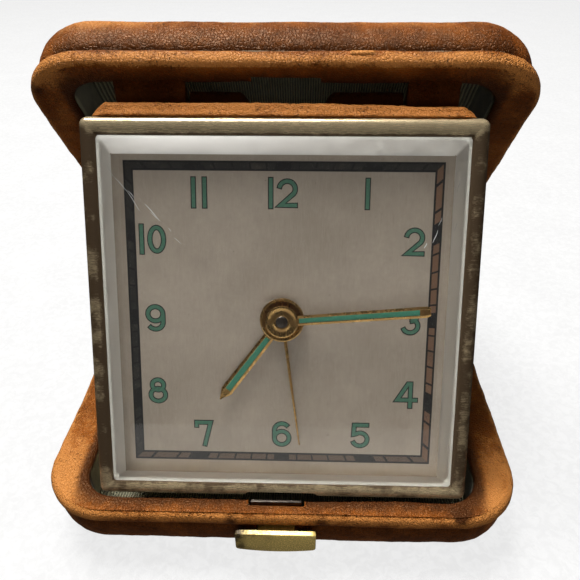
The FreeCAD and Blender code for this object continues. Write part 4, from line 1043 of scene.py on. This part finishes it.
SIX = [
    (arc(0, -0.65, 1.12, 1.12, 0, 342, 30), True),
    (arc(0.02, 0.62, 1.14, 1.15, 38, 180, 14) + [(-1.12, 0.1), (-1.12, -0.6)], False),
]
DIGITS = {
    "0": (1.0, [(arc(0, 0, 1.0, 1.77, 0, 348, 30), True)]),
    "1": (0.0, [([(0, -2.2), (0, 2.2)], False)]),
    "2": (1.15, [(arc(0, 0.62, 1.13, 1.13, 172, -38, 16) + [(-0.95, -1.75), (1.4, -1.75)], False)]),
    "3": (1.1, [(arc(0, 0.88, 0.92, 0.88, 155, -90, 16), False),
                (arc(0, -0.72, 1.1, 1.05, 90, -160, 18), False)]),
    "4": (1.45, [([(0.5, -2.2), (0.5, 1.75), (0.1, 1.75), (-1.45, -0.9), (1.55, -0.9)], False)]),
    "5": (1.15, [([(1.25, 1.75), (-0.9, 1.75), (-0.98, 0.15)]
                  + arc(0.0, -0.66, 1.12, 1.1, 128, -160, 18), False)]),
    "6": (1.12, SIX),
    "7": (1.15, [([(-1.1, 0.95), (-1.1, 1.75), (1.05, 1.75), (0.1, -2.2)], False)]),
    "8": (1.12, [(arc(0, 0.9, 0.88, 0.85, 0, 346, 24), True), (arc(0, -0.72, 1.12, 1.05, 0, 347, 26), True)]),
    "9": (1.12, turned(SIX)),
}
STROKE = 0.54
OUTLINE = 0.16
DIGIT_GAP = 0.42
DIGIT_WIDEN, DIGIT_RAISE = 1.08, 1.04


def number(text):
    """Paths of a whole number about its middle."""
    widths = [2 * DIGITS[d][0] * DIGIT_WIDEN + STROKE + 2 * OUTLINE for d in text]
    gap = 0.85 if text == "11" else DIGIT_GAP
    total = sum(widths) + gap * (len(text) - 1)
    left = -total / 2
    paths = []
    for digit, width in zip(text, widths):
        shift = left + width / 2
        paths += [([(x * DIGIT_WIDEN + shift, y * DIGIT_RAISE) for x, y in points], closed)
                  for points, closed in DIGITS[digit][1]]
        left += width + gap
    return paths


ROW_X, ROW_Y = 12.9, 19.65       # numbers on the top and bottom rows
COLUMN_X, COLUMN_Y = 20.3, 12.4  # numbers on the side columns
NUMBER_AT = {
    "12": (0, ROW_Y), "1": (ROW_X, ROW_Y), "2": (COLUMN_X, COLUMN_Y), "3": (COLUMN_X, -0.2),
    "4": (COLUMN_X, -COLUMN_Y), "5": (ROW_X, -ROW_Y), "6": (0, -ROW_Y), "7": (-ROW_X, -ROW_Y),
    "8": (-COLUMN_X, -COLUMN_Y), "9": (-COLUMN_X, -0.2), "10": (-COLUMN_X, COLUMN_Y), "11": (-ROW_X, ROW_Y),
}


def assemble(name, parts, material):
    """One object on the clock from several lists of points and faces."""
    points, faces = [], []
    for verts, quads in parts:
        start = len(points)
        points += verts
        faces += [tuple(i + start for i in f) for f in quads]
    return make(name, points, faces, material, CLOCK, smooth=False)


def quad_prism(corners, z0, z1):
    """A block over four corners, as points and faces."""
    verts = [(x, y, z1) for x, y in corners] + [(x, y, z0) for x, y in corners]
    faces = [(0, 1, 2, 3), (7, 6, 5, 4)] + [(i, i + 4, (i + 1) % 4 + 4, (i + 1) % 4) for i in range(4)]
    return verts, faces


def track_point(minute, half):
    """Where the ray of a minute meets a square of that half side."""
    a = math.radians(90 - 6 * minute)
    c, s = math.cos(a), math.sin(a)
    reach = half / max(abs(c), abs(s))
    return reach * c + HANDS_X, reach * s + HANDS_Y


def square_frame(half, width, z0, z1):
    """A thin square line round the hands' axis, as points and faces."""
    h = half - width / 2
    corners = [(h + HANDS_X, h + HANDS_Y), (-h + HANDS_X, h + HANDS_Y),
               (-h + HANDS_X, -h + HANDS_Y), (h + HANDS_X, -h + HANDS_Y)]
    return stroke(corners, width, z0, z1, closed=True)


# Cell colour by side: copper on the right; umber on the bottom and slate on the top and left are painted shade.
TRACK_SIDES = (("right", COPPER), ("top", SLATE_PAINTED_SHADE), ("left", SLATE_PAINTED_SHADE), ("bottom", UMBER_PAINTED_SHADE))


def make_dial():
    """Numbers, cells of the minute track and its lines, laid on the dial plate."""
    black, teal = [], []
    for text, (x, y) in NUMBER_AT.items():
        for points, closed in number(text):
            moved = [(px + x + HANDS_X, py + y + HANDS_Y) for px, py in points]
            black.append(stroke(moved, STROKE + 2 * OUTLINE, DIAL_Z - 0.01, DIAL_Z + 0.02, closed, OUTLINE))
            teal.append(stroke(moved, STROKE, DIAL_Z, DIAL_Z + 0.045, closed))
    finish(assemble("dial_number_outlines", black, INK), "clock", "dial_silver")
    finish(assemble("dial_number_fills", teal, TEAL), "clock", "lume")
    outer, inner = TRACK_HALF, TRACK_HALF - TRACK_WIDTH
    line = 0.3
    sides = []
    for way, (name, material) in enumerate(TRACK_SIDES):
        edge = [(outer - 0.05, -outer + 0.05), (outer - 0.05, outer - 0.05), (inner + 0.05, inner + 0.05),
                (inner + 0.05, -inner - 0.05)]
        c, sn = round(math.cos(way * math.pi / 2)), round(math.sin(way * math.pi / 2))
        edge = [(x * c - y * sn + HANDS_X, x * sn + y * c + HANDS_Y) for x, y in edge]
        cells = quad_prism(edge, DIAL_Z - 0.01, DIAL_Z + 0.015)
        sides.append(assemble("cells_" + name, [cells], material))
    finish(join("dial_track_cells", sides), "clock", "dial_silver")
    top = DIAL_Z + 0.03
    foot = DIAL_Z - 0.005
    near, far = inner + line / 2, outer - line / 2
    ink = [square_frame(outer, line, foot, top), square_frame(inner + line, line, foot, top)]
    for minute in range(60):
        blocked = minute % 5 == 0
        half_width = 0.5 if blocked else 0.055
        before, after = minute - half_width, minute + half_width
        corners = [track_point(before, far), track_point(before, near), track_point(after, near),
                   track_point(after, far)]
        ink.append(quad_prism(corners, foot, top - 0.004))
    finish(assemble("dial_track_lines", ink, INK), "clock", "dial_silver")


def make_scratches():
    """Short bright scratches on the crystal's front: start, end and width."""
    marks = [
        ((-25.5, 23.2), (-24.3, 21.4), 0.05), ((-24.3, 21.4), (-22.5, 19.4), 0.08),
        ((-22.6, 19.5), (-20.7, 16.5), 0.08), ((-22.4, 19.5), (-21.4, 18.4), 0.07),
        ((-20.0, 17.6), (-17.8, 15.1), 0.15), ((-19.3, 16.4), (-18.2, 15.4), 0.07),
        ((-16.7, 14.1), (-16.2, 13.6), 0.08), ((-15.9, 12.7), (-14.8, 11.8), 0.06),
        ((25.6, 21.4), (25.2, 19.6), 0.07), ((22.7, 14.2), (22.1, 12.3), 0.13),
        ((25.5, 15.4), (25.2, 14.0), 0.08), ((21.2, 12.3), (20.9, 11.5), 0.16),
        ((23.2, 16.0), (22.8, 14.8), 0.06),
    ]
    parts = []
    flat = GLASS_HALF - GLASS_BEVEL
    for (x0, y0), (x1, y1), width in marks:
        corner = []
        for k in range(7):
            t = k / 6
            x, y = x0 + (x1 - x0) * t, y0 + (y1 - y0) * t
            corner.append((x + 0.05 * math.sin(5 * t), y))
        verts, faces = stroke(corner, width, 0.0, 0.012)
        raised = []
        for i, (x, y, z) in enumerate(verts):
            t = (i // 4) / 6
            taper = math.sin(math.pi * (0.08 + 0.84 * t))
            cx, cy = corner[i // 4]
            x, y = cx + (x - cx) * taper, cy + (y - cy) * taper
            over = max(abs(x), abs(y)) - flat
            drop = max(over, 0.0) * (GLASS_FRONT - 0.5) / GLASS_BEVEL
            raised.append((x, y, GLASS_FRONT - drop + z + 0.004))
        parts.append((raised, faces))
    finish(assemble("crystal_scratches", parts, SCRATCH), "clock", "glass")


make_bezel()
make_crystal()
make_seat()
make_dial()
make_scratches()


# ---- hands ----------------------------------------------------------------------------------------
def hand_frame(degrees):
    """Local frame of a hand: X along it, Z out of the dial, from the hands' axis."""
    turn = Matrix.Rotation(math.radians(degrees), 4, "Z")
    return CLOCK @ Matrix.Translation((HANDS_X * MM, HANDS_Y * MM, 0)) @ turn


def blade(name, stations, z, rise, channel, place):
    """A hand's arm with sloped flanks either side of a sunk channel; stations are (along, half width)."""
    sections = []
    for along, half in stations:
        rim = max(half * channel, 0.02)
        flank = [(half, z), (half, z + 0.05), (rim + 0.06, z + rise), (rim, z + rise - 0.02),
                 (rim, z + rise - 0.1)]
        other = [(-y, h) for y, h in flank]
        sections.append([(along, y, h) for y, h in other + flank[::-1]])
    return lofted(name, sections, BRASS_HANDS, place, 18)


def fill(name, stations, z0, z1, place):
    """The inlay of a hand's channel, with slightly rounded edges."""
    side = ((1.0, z0), (1.0, z1 - 0.02), (0.7, z1))
    profile = [(-share, z) for share, z in side] + list(side[::-1])
    sections = [[(a, h * share, z) for share, z in profile] for a, h in stations]
    return lofted(name, sections, TEAL_BRIGHT, place, 40)


def washer(name, r_out, r_in, z0, top, place):
    """A turned hub with a rounded rim and a shallow dish towards its bore."""
    profile = [
        (r_in, z0), (r_out - 0.05, z0), (r_out, z0 + 0.06), (r_out, top - 0.14),
        (r_out - 0.05, top - 0.04), (r_out - 0.18, top), (r_out - 0.38, top - 0.01),
        (r_out - 0.5, top - 0.09), (r_in + 0.5, top - 0.11), (r_in + 0.28, top - 0.02),
        (r_in + 0.12, top), (r_in, top - 0.05),
    ]
    segments = 80
    points = turned_points(profile, segments)
    piece = make(name, points, band_faces(len(profile), segments, closed=True), BRASS_HANDS, place)
    sharpen(piece, 45)
    return piece


def pose_of(node):
    """A hand's direction on the dial in degrees, its reach and the height of its underside."""
    co = np.array([v.co for v in frame["nodes"][node].data.vertices])
    local = into(co, CLOCK)
    away = local[:, :2] - np.array((HANDS_X, HANDS_Y))
    far = away[np.linalg.norm(away, axis=1).argmax()]
    return math.degrees(math.atan2(far[1], far[0])), float(np.linalg.norm(far)), float(local[:, 2].min())


def inlaid_hand(name, body, way, z, stations, rise, share, hub, channel):
    """A brass arm with its hub (outer radius, bore, height), and the inlay in the arm's channel."""
    place = hand_frame(way)
    arm = blade(name + "_arm", stations, z, rise, share, place)
    radius, bore, height = hub
    disc = washer(name + "_hub", radius, bore, z - 0.05, z + height, place)
    finish(join(name + "_hand_brass", [arm, disc]), body, "brass", name + "_hand")
    inlay = fill(name + "_hand_inlay", channel, z + 0.06, z + rise, place)
    finish(inlay, body, "lume", name + "_hand_lume")


def make_hands():
    """Three hands at the angles and heights of the CAD, and the pin that holds them."""
    minute_way, minute_reach, minute_z = pose_of("minute_hand")
    hour_way, hour_reach, hour_z = pose_of("hour_hand")
    alarm_way, alarm_reach, alarm_z = pose_of("alarm_hand")
    tip = minute_reach
    stations = [(1.6, 0.78), (6.0, 0.80), (14.0, 0.84), (tip - 1.5, 0.9), (tip - 0.6, 0.88), (tip, 0.66)]
    channel = [(2.7, 0.36), (6.0, 0.37), (14.0, 0.39), (tip - 1.7, 0.42)]
    inlaid_hand("minute", "minute_arbor", minute_way, minute_z, stations, 0.2, 0.5, (2.55, 0.95, 0.34),
                channel)
    tip = hour_reach
    stations = [(2.4, 0.86), (6.0, 0.90), (tip - 1.8, 0.98), (tip - 1.7, 0.98), (tip - 0.8, 0.5), (tip, 0.06)]
    channel = [(3.75, 0.41), (6.0, 0.43), (tip - 2.5, 0.46), (tip - 2.1, 0.46)]
    inlaid_hand("hour", "hour_wheel", hour_way, hour_z, stations, 0.22, 0.48, (3.5, 1.2, 0.42), channel)
    place = hand_frame(alarm_way)
    stations = [(1.6, 0.30), (6.0, 0.24), (alarm_reach - 0.6, 0.13), (alarm_reach, 0.1)]
    ridge = ((-1.0, 0.0), (-0.7, 0.1), (0.0, 0.15), (0.7, 0.1), (1.0, 0.0))
    sections = [[(a, h * share, alarm_z + rise) for share, rise in ridge] for a, h in stations]
    needle = lofted("alarm_needle", sections, BRASS_HANDS, place, 30)
    hub = washer("alarm_hub", 2.6, 1.55, alarm_z, alarm_z + 0.2, place)
    finish(join("alarm_hand_brass", [needle, hub]), "alarm_hand", "brass", "alarm_hand")
    pin = [(0.94, minute_z - 0.4), (0.94, minute_z + 0.34), (0.86, minute_z + 0.42), (0.62, minute_z + 0.51),
           (0.3, minute_z + 0.55)]
    staff = lathe("hand_pin_cap", pin, DARK_STEEL, hand_frame(0), 40)
    finish(staff, "minute_arbor", "steel")


make_hands()


# ---- latch ----------------------------------------------------------------------------------------
def bowed_plate(name, low, high, bow, y0, y1, edge, half):
    """A push plate lofted along X with a bowed lower edge and rounded corners."""
    sections = []
    for x in ends(-half, half, 0.5, 34):
        near = min((half - abs(x)) / 0.5, 1.0)
        pull = 0.25 * (1 - math.sqrt(max(1 - (1 - near) ** 2, 0.0)))
        lower = low - bow * (1 - (x / half) ** 2) + pull
        upper = high - pull
        front = y0 + pull * 0.6
        outline = [
            (y1, lower), (front + edge, lower), (front + edge * 0.3, lower + edge * 0.3),
            (front, lower + edge), (front - 0.05, (lower + upper) / 2), (front, upper - edge),
            (front + edge * 0.3, upper - edge * 0.3), (front + edge, upper), (y1, upper),
        ]
        sections.append([(x + LATCH_X, y, z) for y, z in outline])
    return lofted(name, sections, BRASS_LATCH, BASE, 40)


def make_latch():
    """Push plate on the front wall, with its stem and the hook that holds the lid."""
    front = CASE_FRONT - 1.5
    low = LATCH_LOW.z + 0.7
    stem_low, stem_high = 7.6, 9.4
    hook_y, hook_t, hook_top = -37.15, 0.5, 13.6
    face = bowed_plate("latch_face", low + 0.7, LATCH_TOP, 0.6, front, front + 0.6, 0.18, LATCH_HALF)
    step = bowed_plate("latch_step", low, LATCH_TOP - 0.1, 0.7, front + 0.55, front + 0.9, 0.1,
                       LATCH_HALF - 0.05)
    stem = soft_box("latch_stem", (LATCH_X - 3, CASE_FRONT - 0.9, stem_low),
                    (LATCH_X + 3, hook_y - 0.45, stem_high), 0.1, BRASS_LATCH)
    # The hook is given dark steel as painted shade, so that it reads as the shadow under the bezel.
    hook = soft_box("latch_hook", (LATCH_X - 4.1, hook_y - hook_t, stem_low),
                    (LATCH_X + 4.1, hook_y, hook_top), 0.1, DARK_STEEL)
    piece = join("latch_push_piece", [face, step, stem, hook])
    # The push piece is darker towards the left and towards the top.
    co = positions(piece) / MM
    left = np.clip((LATCH_X - co[:, 0]) / 6, -0.4, 1)
    upper = np.clip((co[:, 2] - 8.6) / 1.2, 0, 1)
    paint_attribute(piece, "tarnish_and_painted_shade", 0.15 + 0.40 * left + 0.2 * upper)
    finish(piece, "latch", "aged_brass", "latch_button")


make_latch()


# ---- CAD pieces that are shown as they are --------------------------------------------------------
FINISHES = {
    "board": BOARD, "steel": STEEL, "dark_steel": DARK_STEEL, "spring_steel": SPRING_STEEL, "brass": BRASS,
    "aged_brass": BRASS_CASE, "dial_silver": DIAL,
}
OWN_FINISH = {"crystal_retainer": SEAT, "case_back": BRASS_CASE}
SOFT_EDGES = {
    "clock_case": 0.2, "case_back": 0.1, "case_back_screws": 0.08, "time_winding_key": 0.15,
    "alarm_winding_key": 0.15, "hand_setting_knob": 0.1, "alarm_setting_knob": 0.1, "alarm_stop_button": 0.1,
    "regulator_lever": 0.05, "clock_hinge_pin": 0.1, "spine_pin": 0.1, "lid_strike": 0.08,
}


def dress_cad():
    """Finishes and soft edges for the CAD pieces that no other piece stands for."""
    for part in frame["record"]["subparts"]:
        node = frame["nodes"][part["node"]]
        if node.hide_render:
            continue
        node.data.materials.clear()
        node.data.materials.append(OWN_FINISH.get(part["node"]) or FINISHES[part["material_slot"]])
        if part["node"] in SOFT_EDGES:
            bevel = node.modifiers.new("soft_edges", "BEVEL")
            bevel.width = SOFT_EDGES[part["node"]] * MM
            bevel.segments = 2
            bevel.limit_method = "ANGLE"
            bevel.angle_limit = math.radians(40)


dress_cad()


# ---- floor, light and camera ----------------------------------------------------------------------
def make_floor():
    """A pale floor with pale walls far off; they light nothing and show in no reflection."""
    reach = 1500
    corners = [(-reach, -reach), (reach, -reach), (reach, reach), (-reach, reach)]
    low = [(x, y, 0) for x, y in corners]
    high = [(x, y, 2 * reach) for x, y in corners]
    floor = make("floor_plane", low, [(0, 1, 2, 3)], FLOOR, smooth=False)
    walls = [(i, (i + 1) % 4, (i + 1) % 4 + 4, i + 4) for i in range(4)]
    backdrop = make("backdrop_walls", low + high, walls, FLOOR, smooth=False)
    backdrop.visible_transmission = False
    for piece in (floor, backdrop):
        piece.visible_diffuse = False
        piece.visible_glossy = False


LAMP_AIM = (0, 0, 40)


def lamp(name, at, size, power, colour):
    """A square soft light, aimed at the middle of the clock; places are in millimetres."""
    data = bpy.data.lights.new(name, "AREA")
    data.size = size * MM
    data.energy = power
    data.color = colour
    made = bpy.data.objects.new(name, data)
    bpy.context.scene.collection.objects.link(made)
    made.location = Vector(at) * MM
    made.rotation_euler = (Vector(LAMP_AIM) * MM - made.location).to_track_quat("-Z", "Y").to_euler()
    return made


def light_room():
    """A soft lamp overhead, a weak one in front, and a room that is dim above and in front."""
    world = bpy.data.worlds.new("soft_room")
    bpy.context.scene.world = world
    world.use_nodes = True
    tree = world.node_tree
    back = tree.nodes["Background"]
    place = tree.nodes.new("ShaderNodeTexCoord")
    parts = tree.nodes.new("ShaderNodeSeparateXYZ")
    ramp = tree.nodes.new("ShaderNodeValToRGB")
    tree.links.new(place.outputs["Generated"], parts.inputs[0])
    tree.links.new(parts.outputs["Z"], ramp.inputs[0])
    tree.links.new(ramp.outputs[0], back.inputs["Color"])
    stops = ((0.0, 0.04), (0.30, 0.05), (0.50, 0.04), (0.75, 0.05), (1.0, 0.17))
    while len(ramp.color_ramp.elements) < len(stops):
        ramp.color_ramp.elements.new(0.5)
    for element, (at, level) in zip(ramp.color_ramp.elements, stops):
        element.position = at
        element.color = (level, level * 0.98, level * 0.95, 1)
    back.inputs["Strength"].default_value = 1.0
    lamp("overhead_light", (-130, 110, 620), 280, 5.7, (1.0, 0.985, 0.96))
    weak = lamp("front_fill", (60, -560, 150), 380, 0.75, (1.0, 0.98, 0.95))
    weak.visible_glossy = False
    weak.visible_transmission = False


CAMERA_AT = (3.73, -95.6, 94.7)
CAMERA_TURN = (-1.71, -34.28, -0.23)    # yaw, pitch and roll in degrees
CAMERA_LENS = 35.95


def aim_camera():
    """A camera above the front edge, looking down at the dial."""
    place = Vector(CAMERA_AT) * MM
    yaw, pitch, roll = (math.radians(a) for a in CAMERA_TURN)
    forward = Vector((math.sin(yaw) * math.cos(pitch), math.cos(yaw) * math.cos(pitch), math.sin(pitch)))
    right = forward.cross(Vector((0, 0, 1))).normalized()
    up = right.cross(forward)
    right, up = right * math.cos(roll) + up * math.sin(roll), up * math.cos(roll) - right * math.sin(roll)
    data = bpy.data.cameras.new("photo_camera")
    data.sensor_width = 36.0
    data.lens = CAMERA_LENS
    data.clip_start = 0.005
    camera = bpy.data.objects.new("photo_camera", data)
    bpy.context.scene.collection.objects.link(camera)
    camera.matrix_world = Matrix.Translation(place) @ Matrix((right, up, -forward)).transposed().to_4x4()
    bpy.context.scene.camera = camera


make_floor()
light_room()
aim_camera()

view_settings = bpy.context.scene.view_settings
view_settings.view_transform = "Standard"
view_settings.exposure = 0.0
